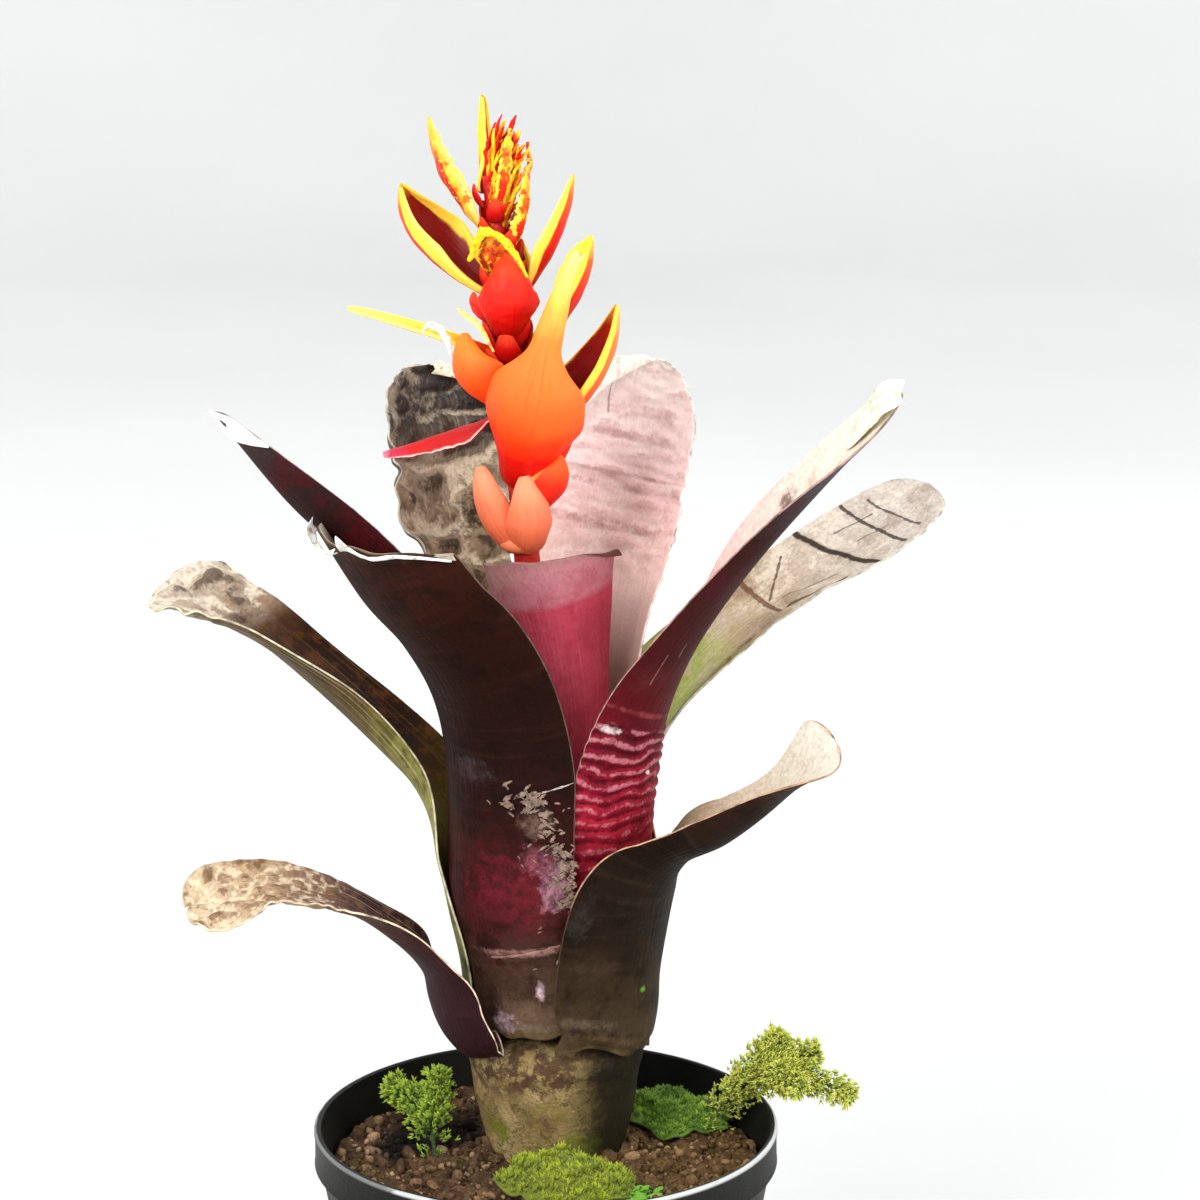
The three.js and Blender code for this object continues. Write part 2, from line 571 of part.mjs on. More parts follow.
const finish = (color, roughness) => new THREE.MeshStandardMaterial({ color, roughness, metalness: 0 });
const MATERIALS = {
  pot: finish(0x1b1f1d, 0.45),
  soil: finish(0x4a3726, 0.95),
  stump: finish(0x76683f, 0.85),
  leafDark: finish(0x3a1a14, 0.5),
  leafMagenta: finish(0x8f3542, 0.5),
  leafPale: finish(0xcfa9a2, 0.6),
  leafGreen: finish(0x8f9a52, 0.55),
  leafGrey: finish(0x8a7767, 0.8),
  scape: finish(0xb3261a, 0.5),
  orange: finish(0xf2601f, 0.45),
  yellow: finish(0xf2b02a, 0.45),
  red: finish(0xb4261a, 0.45),
  moss: finish(0x84a81f, 0.95),
  clubmoss: finish(0x7f9a34, 0.9),
};
const LEAF_FINISH = {
  leaf_grey_back: "leafGrey",
  leaf_pink_upright: "leafPale",
  leaf_magenta_front: "leafMagenta",
  leaf_green_right: "leafGreen",
};
const bractFinish = (name) => {
  if (/salmon|egg|knob|back_low|right_low/.test(name)) return "orange";
  return /boat|top|tuft|needle|narrow/.test(name) ? "yellow" : "red";
};

const bromeliad = new THREE.Group();
function place(name, geometry, material) {
  const mesh = new THREE.Mesh(geometry, MATERIALS[material]);
  mesh.name = name;
  bromeliad.add(mesh);
}

place("pot", pot(), "pot");
place("soil", soil(), "soil");
place("stump", stump(), "stump");
for (const [name, shape] of Object.entries(LEAVES)) place(name, leaf(shape), LEAF_FINISH[name] ?? "leafDark");
const scape = stem(SCAPE.points.map((p) => new THREE.Vector3(...p)), SCAPE.radii, SCAPE.sides, SCAPE.steps);
place("scape", scape, "scape");
for (const [name, shape] of Object.entries(BRACTS)) place(name, bract(shape), bractFinish(name));
for (const [name, shape] of Object.entries(CUSHIONS)) {
  place(name, geometryOf(solidOf(cushion(shape)).subtract(solidOf(stump(GAP)))), "moss");
}
for (const [name, parts] of Object.entries(SHOOTS)) place(name, shoots(parts), "clubmoss");

export default bromeliad;
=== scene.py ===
import math
import random

import bmesh
import bpy
from mathutils import Matrix, Vector, noise


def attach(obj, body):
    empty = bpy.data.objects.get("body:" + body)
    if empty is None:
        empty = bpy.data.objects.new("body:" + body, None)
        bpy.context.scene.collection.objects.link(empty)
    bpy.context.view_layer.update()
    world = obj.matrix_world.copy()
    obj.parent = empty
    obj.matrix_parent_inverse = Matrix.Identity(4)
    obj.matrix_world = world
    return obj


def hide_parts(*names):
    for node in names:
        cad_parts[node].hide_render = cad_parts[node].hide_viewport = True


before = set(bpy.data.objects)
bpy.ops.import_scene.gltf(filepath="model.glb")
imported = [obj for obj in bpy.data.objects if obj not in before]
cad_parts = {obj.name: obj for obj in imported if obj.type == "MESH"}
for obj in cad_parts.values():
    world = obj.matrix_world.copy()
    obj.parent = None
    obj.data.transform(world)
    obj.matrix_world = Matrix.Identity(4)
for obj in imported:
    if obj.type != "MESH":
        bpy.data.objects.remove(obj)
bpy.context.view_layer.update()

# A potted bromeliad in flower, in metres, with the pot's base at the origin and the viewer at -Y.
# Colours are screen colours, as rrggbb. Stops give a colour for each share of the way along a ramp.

plant = {"x": 0.003, "y": 0.012}  # the leaf tube's axis, a little behind the pot's middle
up = Vector((0, 0, 1))


def clamp(x, low=0.0, high=1.0):
    return min(high, max(low, x))


def smooth(x):
    x = clamp(x)
    return x * x * (3 - 2 * x)


def mix(a, b, share):
    return a + (b - a) * share


# One value of a smooth curve through evenly spaced stations, at t from 0 to the last station's number.
def through(values, t):
    last = len(values) - 1
    i = min(int(t), last - 1)
    f = t - i
    a, b, c, d = (values[int(clamp(k, 0, last))] for k in (i - 1, i, i + 1, i + 2))
    return 0.5 * (2 * b + (c - a) * f + (2 * a - 5 * b + 4 * c - d) * f * f
                  + (3 * b - a - 3 * c + d) * f ** 3)


# The same seeded numbers as the solids use, from 0 to 1.
def seeded(seed):
    state = seed
    while True:
        state = (state * 1664525 + 1013904223) % 4294967296
        yield state / 4294967296


def lumps(point, size, octaves=3, seed=0):  # soft noise from about -1 to 1
    return noise.fractal(point / size + Vector((seed * 7.3, seed * 3.1, seed)), 1.0, 2.0, octaves)


# Shader sockets and finishes.


def channels(colour):
    return [int(colour[i:i + 2], 16) for i in (0, 2, 4)]


def dimmed(colour, share, lift=0):  # its channels, each scaled and then raised
    return [min(255, share * c + lift) for c in channels(colour)]


def tone(colour):  # a screen colour, or its channels, as a linear colour
    parts = [c / 255 for c in (channels(colour) if isinstance(colour, str) else colour)]
    return tuple(c / 12.92 if c <= 0.04045 else ((c + 0.055) / 1.055) ** 2.4 for c in parts) + (1.0,)


def setStops(ramp, stops):
    while len(ramp.elements) < len(stops):
        ramp.elements.new(1.0)
    for element, (position, colour) in zip(ramp.elements, stops.items()):
        element.position = position
        element.color = tone(colour)


class Shade:
    def __init__(self, tree, socket=None):
        self.tree = tree
        self.socket = socket

    def node(self, kind, settings, inputs, output=0):
        made = self.tree.nodes.new(kind)
        for key, value in settings.items():
            setattr(made, key, value)
        for key, value in inputs.items():
            if isinstance(value, Shade):
                self.tree.links.new(value.socket, made.inputs[key])
            else:
                made.inputs[key].default_value = value
        return Shade(self.tree, made.outputs[output])

    def part(self, output):  # another output of the same node
        return Shade(self.tree, self.socket.node.outputs[output])

    def maths(self, operation, *values):
        return self.node("ShaderNodeMath", {"operation": operation}, dict(enumerate(values)))

    def __add__(self, other):
        return self.maths("ADD", self, other)

    def __sub__(self, other):
        return self.maths("SUBTRACT", self, other)

    def __rsub__(self, other):
        return self.maths("SUBTRACT", other, self)

    def __mul__(self, other):
        return self.maths("MULTIPLY", self, other)

    def __abs__(self):
        return self.maths("ABSOLUTE", self)


def step(value, low, high, way="SMOOTHSTEP"):  # 0 below low, 1 above high; low may be the higher of the two
    if low > high:
        return 1 - step(value, high, low, way)
    inputs = {"Value": value, "From Min": low, "From Max": high}
    return value.node("ShaderNodeMapRange", {"interpolation_type": way}, inputs)


def grain(place, size, detail=3.0, rough=0.55):
    inputs = {"Vector": place, "Scale": 1 / size, "Detail": detail, "Roughness": rough}
    return place.node("ShaderNodeTexNoise", {}, inputs)


def joined(x, y, z=0.0):
    return x.node("ShaderNodeCombineXYZ", {}, {0: x, 1: y, 2: z})


def vectors(operation, a, b, output=0):
    return a.node("ShaderNodeVectorMath", {"operation": operation}, {0: a, 1: b}, output)


# A material in the making. Its colour is a ramp, and each layer laid after it covers what its mask says.
class Finish:
    def __init__(self, name, gloss=0.5, sheen=0.0):
        self.material = bpy.data.materials.new(name)
        self.material.use_nodes = True
        tree = self.material.node_tree
        self.shader = next(n for n in tree.nodes if n.type == "BSDF_PRINCIPLED")
        self.set("Specular IOR Level", gloss)
        self.set("Sheen Weight", sheen)
        self.shade = Shade(tree)
        self.place = self.shade.node("ShaderNodeTexCoord", {}, {}, 3)

    def set(self, socket, value):
        self.shader.inputs[socket].default_value = value

    def blade(self):  # a sheet's own coordinates, then how far across and along it is
        flat = self.shade.node("ShaderNodeUVMap", {"uv_map": "blade"}, {})
        split = self.shade.node("ShaderNodeSeparateXYZ", {}, {0: flat})
        return flat, split, split.part(1)

    def axes(self):
        split = self.shade.node("ShaderNodeSeparateXYZ", {}, {0: self.place})
        return split, split.part(1), split.part(2)

    def attribute(self, name):
        return self.shade.node("ShaderNodeAttribute", {"attribute_name": name}, {}, 2)

    def grain(self, size, detail=3.0, rough=0.55):
        return grain(self.place, size, detail, rough)

    def ramp(self, value, stops):
        self.colour = self.shade.node("ShaderNodeValToRGB", {}, {0: value})
        setStops(self.colour.socket.node.color_ramp, stops)

    def lay(self, mask, tint):
        inputs = {0: mask, 6: self.colour, 7: tone(tint)}
        self.colour = self.shade.node("ShaderNodeMix", {"data_type": "RGBA"}, inputs, 2)

    def end(self, roughness, height, depth):
        bump = self.shade.node("ShaderNodeBump", {}, {"Height": height, "Distance": depth, "Strength": 1.0})
        for name, value in (("Base Color", self.colour), ("Roughness", roughness), ("Normal", bump)):
            self.shade.tree.links.new(value.socket, self.shader.inputs[name])
        return self.material


# Pieces.


def addObject(name, data):
    made = bpy.data.objects.new(name, data)
    bpy.context.scene.collection.objects.link(made)
    return made


def meshFrom(name, bm, soft=True):  # bm is used up
    mesh = bpy.data.meshes.new(name)
    for face in bm.faces:
        face.smooth = soft
    bm.to_mesh(mesh)
    bm.free()
    return mesh


def addPiece(name, bm, finishes, slot, nodes, solidify=0.0, rounding=0):
    piece = addObject(name, meshFrom(name, bm))
    for finish in finishes:
        piece.data.materials.append(finish)
    if solidify:
        wall = piece.modifiers.new("wall", "SOLIDIFY")
        wall.thickness = solidify
        wall.offset = 0
        wall.material_offset = min(1, len(finishes) - 1)
        wall.material_offset_rim = min(2, len(finishes) - 1)
    if rounding:
        curve = piece.modifiers.new("rounding", "SUBSURF")
        curve.levels = rounding
        curve.render_levels = rounding
    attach(piece, "root")
    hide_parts(*nodes)
    return piece


def newSheets():  # an empty mesh with the layers that a sheet needs
    bm = bmesh.new()
    bm.loops.layers.uv.new("blade")
    bm.verts.layers.float.new("mark")
    return bm


# Adds a sheet from a grid: place(t, v) gives each point, v from -1 to 1 across and t from 0 to spans along.
# What mark(t, v) gives, from 0 to 1, is kept for the finish.
def addSheet(bm, place, spans, rows, columns, crowd=1.0, mark=None):
    blade = bm.loops.layers.uv["blade"]
    layer = bm.verts.layers.float["mark"]
    verts = bmesh.ops.create_grid(bm, x_segments=columns, y_segments=rows, size=1)["verts"]
    for vert in verts:
        vert.co.y = 1 - (1 - (vert.co.y + 1) / 2) ** crowd  # rows crowd towards the tip
    for face in {face for vert in verts for face in vert.link_faces}:
        for loop in face.loops:
            loop[blade].uv = ((loop.vert.co.x + 1) / 2, loop.vert.co.y)
    for vert in verts:
        t, v = clamp(vert.co.y) * spans, clamp(vert.co.x, -1, 1)
        vert[layer] = mark(t, v) if mark else 0.5
        vert.co = place(t, v)
    return bm


# A tube or lump from a grid wrapped round: place(turn, rise) gives each point, both from 0 to 1.
def wrappedMesh(place, columns, rows):
    bm = bmesh.new()
    skin = bm.loops.layers.uv.new("blade")
    bmesh.ops.create_grid(bm, x_segments=columns, y_segments=rows, size=1)
    for face in bm.faces:
        for loop in face.loops:
            loop[skin].uv = ((loop.vert.co.x + 1) / 2, (loop.vert.co.y + 1) / 2)
    for vert in bm.verts:
        vert.co = place((vert.co.x + 1) / 2 % 1.0, (vert.co.y + 1) / 2)
    bmesh.ops.remove_doubles(bm, verts=bm.verts, dist=1e-7)
    bmesh.ops.holes_fill(bm, edges=[e for e in bm.edges if e.is_boundary], sides=0)
    bmesh.ops.recalc_face_normals(bm, faces=bm.faces)
    return bm


def spunMesh(section, steps):  # from half a section, a row of (radius, height)
    bm = bmesh.new()
    verts = [bm.verts.new((r, 0, z)) for r, z in section]
    edges = [bm.edges.new(pair) for pair in zip(verts, verts[1:])]
    bmesh.ops.spin(bm, geom=verts + edges, cent=(0, 0, 0), axis=up, angle=math.tau, steps=steps,
                   use_merge=True)
    bmesh.ops.remove_doubles(bm, verts=bm.verts, dist=1e-6)
    bmesh.ops.recalc_face_normals(bm, faces=bm.faces)
    return bm


# Leaves. A station is (azimuth, distance from the tube's axis, height, half width, fold, twist), in degrees
# and metres. Half width 0 means that the leaf lies on the tube there, wrapped by the fold angle to each
# side. Azimuth 0 is the viewer's right, 90 the back, 180 the left and 270 the front.

bladeMesh = {"wall": 0.0010, "rows": 120, "columns": 26, "crowd": 1.25}

leaves = {
    "leaf_grey_back": {
        "stations": [
            (140, 0.0153, 0.166, 0, 62, 0), (140, 0.0153, 0.205, 0, 62, 0), (140, 0.0153, 0.245, 0, 62, 0),
            (141, 0.018, 0.278, 0.016, 44, 0), (142, 0.029, 0.302, 0.018, 36, 0),
            (140, 0.041, 0.323, 0.025, 34, 0), (136, 0.05, 0.345, 0.028, 38, 0),
            (133, 0.052, 0.369, 0.023, 46, 0),
        ],
        "tip": 0.7, "crumple": 0.0018,
        "rumple": {"size": 0.019, "height": 0.0052, "start": 3.2, "flat": 1.7}, "slot": "leaf_grey",
    },
    "leaf_magenta_front": {
        "stations": [
            (286, 0.0171, 0.165, 0, 74, 0), (286, 0.0171, 0.195, 0, 74, 0), (285, 0.013, 0.215, 0, 74, 0),
            (284, 0.0113, 0.24, 0, 74, 0), (278, 0.0116, 0.275, 0.023, 74, 0),
            (268, 0.013, 0.295, 0.0235, 70, 0), (252, 0.0185, 0.3185, 0.0305, 70, 0),
        ],
        "tip": 0, "ragged": {"seed": 3, "depth": 0.0015, "slant": 0.007, "tilt": 0.004},
        "slot": "leaf_magenta",
    },
    "leaf_pink_upright": {
        "stations": [
            (62, 0.0189, 0.1645, 0, 75, 0), (62, 0.0189, 0.205, 0, 75, 0), (62, 0.0189, 0.24, 0, 75, 0),
            (60, 0.02, 0.275, 0.028, 60, 0), (62, 0.028, 0.302, 0.029, 46, 0),
            (60, 0.037, 0.326, 0.028, 38, 4), (58, 0.043, 0.348, 0.0255, 38, 8),
            (57, 0.048, 0.371, 0.02, 52, 12),
        ],
        "tip": 0.75, "rumple": {"size": 0.014, "height": 0.0016, "start": 3.6, "flat": 4.0},
        "slot": "leaf_pale",
    },
    "leaf_upper_left": {
        "stations": [
            (190, 0.0207, 0.1635, 0, 70, 0), (190, 0.0207, 0.205, 0, 70, 0), (190, 0.0209, 0.24, 0, 70, 0),
            (192, 0.026, 0.272, 0.028, 52, 8), (194, 0.039, 0.292, 0.0235, 46, 14),
            (193, 0.055, 0.3135, 0.019, 50, 18), (194, 0.077, 0.3365, 0.0135, 56, 22),
            (195, 0.101, 0.366, 0.0026, 50, 24),
        ],
        "tip": 0.2, "slot": "leaf_dark",
    },
    "leaf_green_right": {
        "stations": [
            (44, 0.0225, 0.1625, 0, 60, 0), (44, 0.0225, 0.195, 0, 58, 0), (42, 0.0225, 0.228, 0, 40, 0),
            (36, 0.028, 0.251, 0.022, 40, 0), (30, 0.045, 0.272, 0.02, 34, 6),
            (27, 0.073, 0.293, 0.0175, 24, 12), (25, 0.103, 0.309, 0.0185, 20, 14),
            (24, 0.1312, 0.325, 0.016, 20, 14),
        ],
        "tip": 0.6, "rumple": {"size": 0.014, "height": 0.0012, "start": 4.3, "flat": 1.0},
        "slot": "leaf_green",
    },
    "leaf_right_up": {
        "stations": [
            (318, 0.0243, 0.1615, 0, 58, 0), (318, 0.0243, 0.195, 0, 54, 0), (318, 0.025, 0.228, 0, 42, 0),
            (320, 0.029, 0.255, 0.022, 38, 0), (330, 0.039, 0.282, 0.023, 46, 4),
            (335, 0.059, 0.314, 0.021, 54, 16), (335, 0.085, 0.346, 0.0145, 50, 25),
            (335, 0.1095, 0.375, 0.0045, 30, 50),
        ],
        "tip": 0.35, "rows": 300, "bands": {"start": 1.4, "end": 3.42, "count": 13, "height": 0.0012},
        "slot": "leaf_dark",
    },
    "leaf_back_high": {
        "stations": [
            (95, 0.0261, 0.1605, 0, 60, 0), (95, 0.0261, 0.185, 0, 48, 0), (95, 0.0263, 0.207, 0, 37, 0),
            (95, 0.029, 0.229, 0, 30, 0), (96, 0.039, 0.25, 0.018, 36, 0), (97, 0.055, 0.266, 0.015, 30, 0),
            (98, 0.074, 0.275, 0.013, 26, 0), (99, 0.0926, 0.277, 0.01, 24, 0),
        ],
        "tip": 0.7, "rumple": {"size": 0.01, "height": 0.0012, "start": 5.4, "flat": 1.4},
        "slot": "leaf_dark",
    },
    "leaf_torn_front": {
        "stations": [
            (206, 0.0279, 0.159, 0, 74, 0), (206, 0.0279, 0.195, 0, 74, 0), (207, 0.0279, 0.22, 0, 74, 0),
            (208, 0.0284, 0.248, 0, 74, 0), (210, 0.033, 0.27, 0.043, 72, 0),
            (212, 0.044, 0.289, 0.043, 68, 0), (213, 0.058, 0.305, 0.042, 64, 0),
            (214, 0.074, 0.329, 0.04, 58, 0),
        ],
        "tip": 0, "ragged": {"seed": 11, "depth": 0.003, "slant": 0.012}, "slot": "leaf_dark",
    },
    "leaf_left_mid": {
        "stations": [
            (158, 0.0297, 0.157, 0, 50, 0), (158, 0.0297, 0.19, 0, 46, 0), (155, 0.031, 0.212, 0, 36, 0),
            (152, 0.044, 0.232, 0.023, 62, 14), (150, 0.07, 0.251, 0.0225, 62, 18),
            (150, 0.101, 0.271, 0.0195, 46, 12), (150, 0.1265, 0.2835, 0.0185, 22, -10),
            (150, 0.146, 0.291, 0.0175, 14, -24),
        ],
        "tip": 0.7, "crumple": 0.0014, "crease": {"depth": 0.0014, "width": 0.14, "start": 2.6},
        "rumple": {"size": 0.013, "height": 0.003, "start": 5.2, "flat": 1.2}, "slot": "leaf_dark",
    },
    "leaf_back_low": {
        "stations": [
            (66, 0.0315, 0.155, 0, 60, 0), (66, 0.0315, 0.18, 0, 52, 0), (68, 0.0315, 0.205, 0, 44, 0),
            (74, 0.036, 0.227, 0.022, 40, 0), (78, 0.056, 0.239, 0.017, 36, 0),
            (80, 0.078, 0.241, 0.013, 30, 0), (81, 0.0986, 0.235, 0.01, 26, 0),
        ],
        "tip": 0.7, "rumple": {"size": 0.01, "height": 0.0012, "start": 4.4, "flat": 1.4},
        "slot": "leaf_dark",
    },
    "leaf_lower_right": {
        "stations": [
            (330, 0.0332, 0.147, 0, 60, 0), (330, 0.0333, 0.18, 0, 60, 0), (331, 0.033, 0.206, 0, 54, 0),
            (336, 0.039, 0.219, 0.03, 50, 0), (339, 0.053, 0.227, 0.024, 62, 0),
            (341, 0.07, 0.242, 0.016, 62, 8), (341, 0.087, 0.262, 0.015, 22, 48),
        ],
        "tip": 0.38, "skirt": {"side": -1, "rise": 0.012}, "slot": "leaf_dark",
    },
    "leaf_lower_left": {
        "stations": [
            (201, 0.0322, 0.143, 0, 40, 0), (201, 0.034, 0.151, 0, 42, 0), (201, 0.0385, 0.16, 0, 42, 0),
            (200, 0.041, 0.17, 0, 38, 0), (198, 0.043, 0.181, 0.026, 36, 0),
            (195, 0.05, 0.192, 0.018, 40, 0), (193, 0.063, 0.203, 0.012, 44, -6),
            (192, 0.082, 0.21, 0.012, 30, -18), (192, 0.098, 0.209, 0.0145, 24, -26),
            (192, 0.1135, 0.205, 0.0135, 24, -28),
        ],
        "tip": 0.7, "notch": {"at": -0.45, "width": 0.3, "depth": 0.006}, "skirt": {"side": 1, "rise": 0.02},
        "crumple": 0.0012, "rumple": {"size": 0.006, "height": 0.0022, "start": 5.6, "flat": 1.2},
        "slot": "leaf_dark",
    },
}


def lean(z):  # how far every sheath stands out from the stump's own line
    return 0.006 * smooth((z - 0.172) / 0.04) - 0.003 * clamp((0.172 - z) / 0.02) ** 2


# The blade's middle surface: frameAt(t) is worked out once a row, and place(t, v) is a point on it.
class Blade:
    def __init__(self, shape):
        self.shape = shape
        self.stations = shape["stations"]
        self.spans = len(self.stations) - 1
        self.rows = {}
        self.halves = [half or (distance + lean(height)) * math.radians(fold)
                       for _, distance, height, half, fold, _ in self.stations]
        ragged = shape.get("ragged")
        numbers = seeded(ragged["seed"]) if ragged else None
        self.teeth = [next(numbers) * ragged["depth"] for _ in range(11)] if ragged else []

    def value(self, field, t):
        return through([s[field] for s in self.stations], t)

    def spine(self, t):
        azimuth = math.radians(self.value(0, t))
        height = self.value(2, t)
        distance = self.value(1, t) + lean(height)
        x = plant["x"] + distance * math.cos(azimuth)
        return Vector((x, plant["y"] + distance * math.sin(azimuth), height))

    def halfAt(self, t):
        i = min(int(t), self.spans - 1)
        if self.stations[i][3] or self.stations[i + 1][3]:
            return through(self.halves, t)
        return (self.value(1, t) + lean(self.value(2, t))) * math.radians(self.value(4, t))

    def frameAt(self, t):
        if t in self.rows:
            return self.rows[t]
        reach = 0.01
        along = (self.spine(min(t + reach, self.spans)) - self.spine(max(t - reach, 0))).normalized()
        azimuth = math.radians(self.value(0, t))
        level = Vector((-math.sin(azimuth), math.cos(azimuth), 0))
        side = (level - along * level.dot(along)).normalized()
        side.rotate(Matrix.Rotation(math.radians(self.value(5, t)), 3, along))
        tip = self.shape["tip"]
        near = clamp((t - (self.spans - tip)) / (tip or 1))
        rounded = math.sqrt(1 - (0.985 * near) ** 2) if tip else 1.0
        fold = math.radians(self.value(4, t)) * mix(1, rounded, 0.8)
        self.rows[t] = {
            "point": self.spine(t), "along": along, "side": side, "hollow": along.cross(side), "fold": fold,
            "radius": self.halfAt(t) * rounded / fold,
            "end": clamp(t - self.spans + 1) ** 3, "free": smooth((t - 3) / 1.5) * rounded,
        }
        return self.rows[t]

    def pull(self, row, v):  # how far the end is torn back
        ragged, notch = self.shape.get("ragged"), self.shape.get("notch")
        if ragged:
            slope = ragged["slant"] * v * v + ragged.get("tilt", 0) * v
            return row["end"] * (through(self.teeth, (v + 1) * 5) + slope)
        if notch:
            return row["end"] * notch["depth"] * max(0, 1 - abs(v - notch["at"]) / notch["width"])
        return 0

    def outward(self, t, v):  # the way the blade's outer face looks
        row = self.frameAt(t)
        return row["side"] * math.sin(v * row["fold"]) - row["hollow"] * math.cos(v * row["fold"])

    def plain(self, t, v):  # the blade without its relief
        row = self.frameAt(t)
        turn = v * row["fold"]
        point = row["point"] + row["side"] * (row["radius"] * math.sin(turn))
        point = point + row["hollow"] * (row["radius"] * (1 - math.cos(turn)))
        skirt = self.shape.get("skirt")
        if skirt and t < 2:  # one side of the foot starts higher up
            point = point + row["along"] * (skirt["rise"] * (1 - t / 2) ** 2 * (1 + skirt["side"] * v) / 2)
        uneven = lumps(Vector((v * 2.6, self.spans, self.halves[0] * 90)), 1, 4)
        hem = 0.0045 * clamp(1 - t) ** 2 * (0.4 + uneven)
        return point + row["along"] * (max(hem, 0) - self.pull(row, v))

    def place(self, t, v, lift=0.0):
        row = self.frameAt(t)
        crumple = row["free"] * self.shape.get("crumple", 0.0006)
        wave = crumple * v * v * math.sin(3 * t + 2.5 * v + self.spans)
        return self.plain(t, v) + self.outward(t, v) * (lift - wave + self.relief(t, v))

    # How high a point is on a raised band or a fold of the crumpling, from 0 to 1. It is 0.5 where the
    # blade is plain.
    def mark(self, t, v):
        point = self.plain(t, v)
        bands, rumple = self.shape.get("bands"), self.shape.get("rumple")
        if bands:
            share = (t - bands["start"]) / (bands["end"] - bands["start"])
            window = smooth(share * 5) * smooth((1 - share) * 12) * (0.45 + 0.55 * share)
            wander = 3.2 * lumps(point, 0.014, 3, 3)
            wave = math.sin(share * bands["count"] * math.tau + wander) + 0.8 * lumps(point, 0.004, 2, 6)
            return 0.5 + 0.5 * window * clamp(wave, -1, 1)
        if rumple:
            start = smooth((t - rumple["start"]) / 0.8)
            stretched = Vector((point.x, point.y, point.z * rumple["flat"]))
            return 0.5 + start * (0.5 - 1.3 * abs(lumps(stretched, rumple["size"], 3, 5)))
        return 0.5

    def relief(self, t, v):  # the height of the veins, the crease and the marks above the plain blade
        height = 0.00006 * math.sin(v * 75 + 3 * t) * smooth((t - 2.5) / 1.5)
        crease = self.shape.get("crease")
        for kind in ("bands", "rumple"):
            if kind in self.shape:
                height += self.shape[kind]["height"] * (self.mark(t, v) - 0.5)
        if crease:
            height += crease["depth"] * smooth(t - crease["start"]) * math.exp(-(v / crease["width"]) ** 2)
        return height


blades = {name: Blade(shape) for name, shape in leaves.items()}

# Leaf finishes. Stops run along the blade, from the sheath to the tip, and stray is how far they wander. A
# blotch is (tint, share, size), veins (tint, share), bars (tint, share, count), and relief the tint and
# share on raised marks, then in hollows. A patch is (across, along, half width, half length, tint, share)
# and a stroke (across, along, across, along, half width in metres, tint, share), in shares of the blade:
# across is 1 at the side of increasing azimuth.

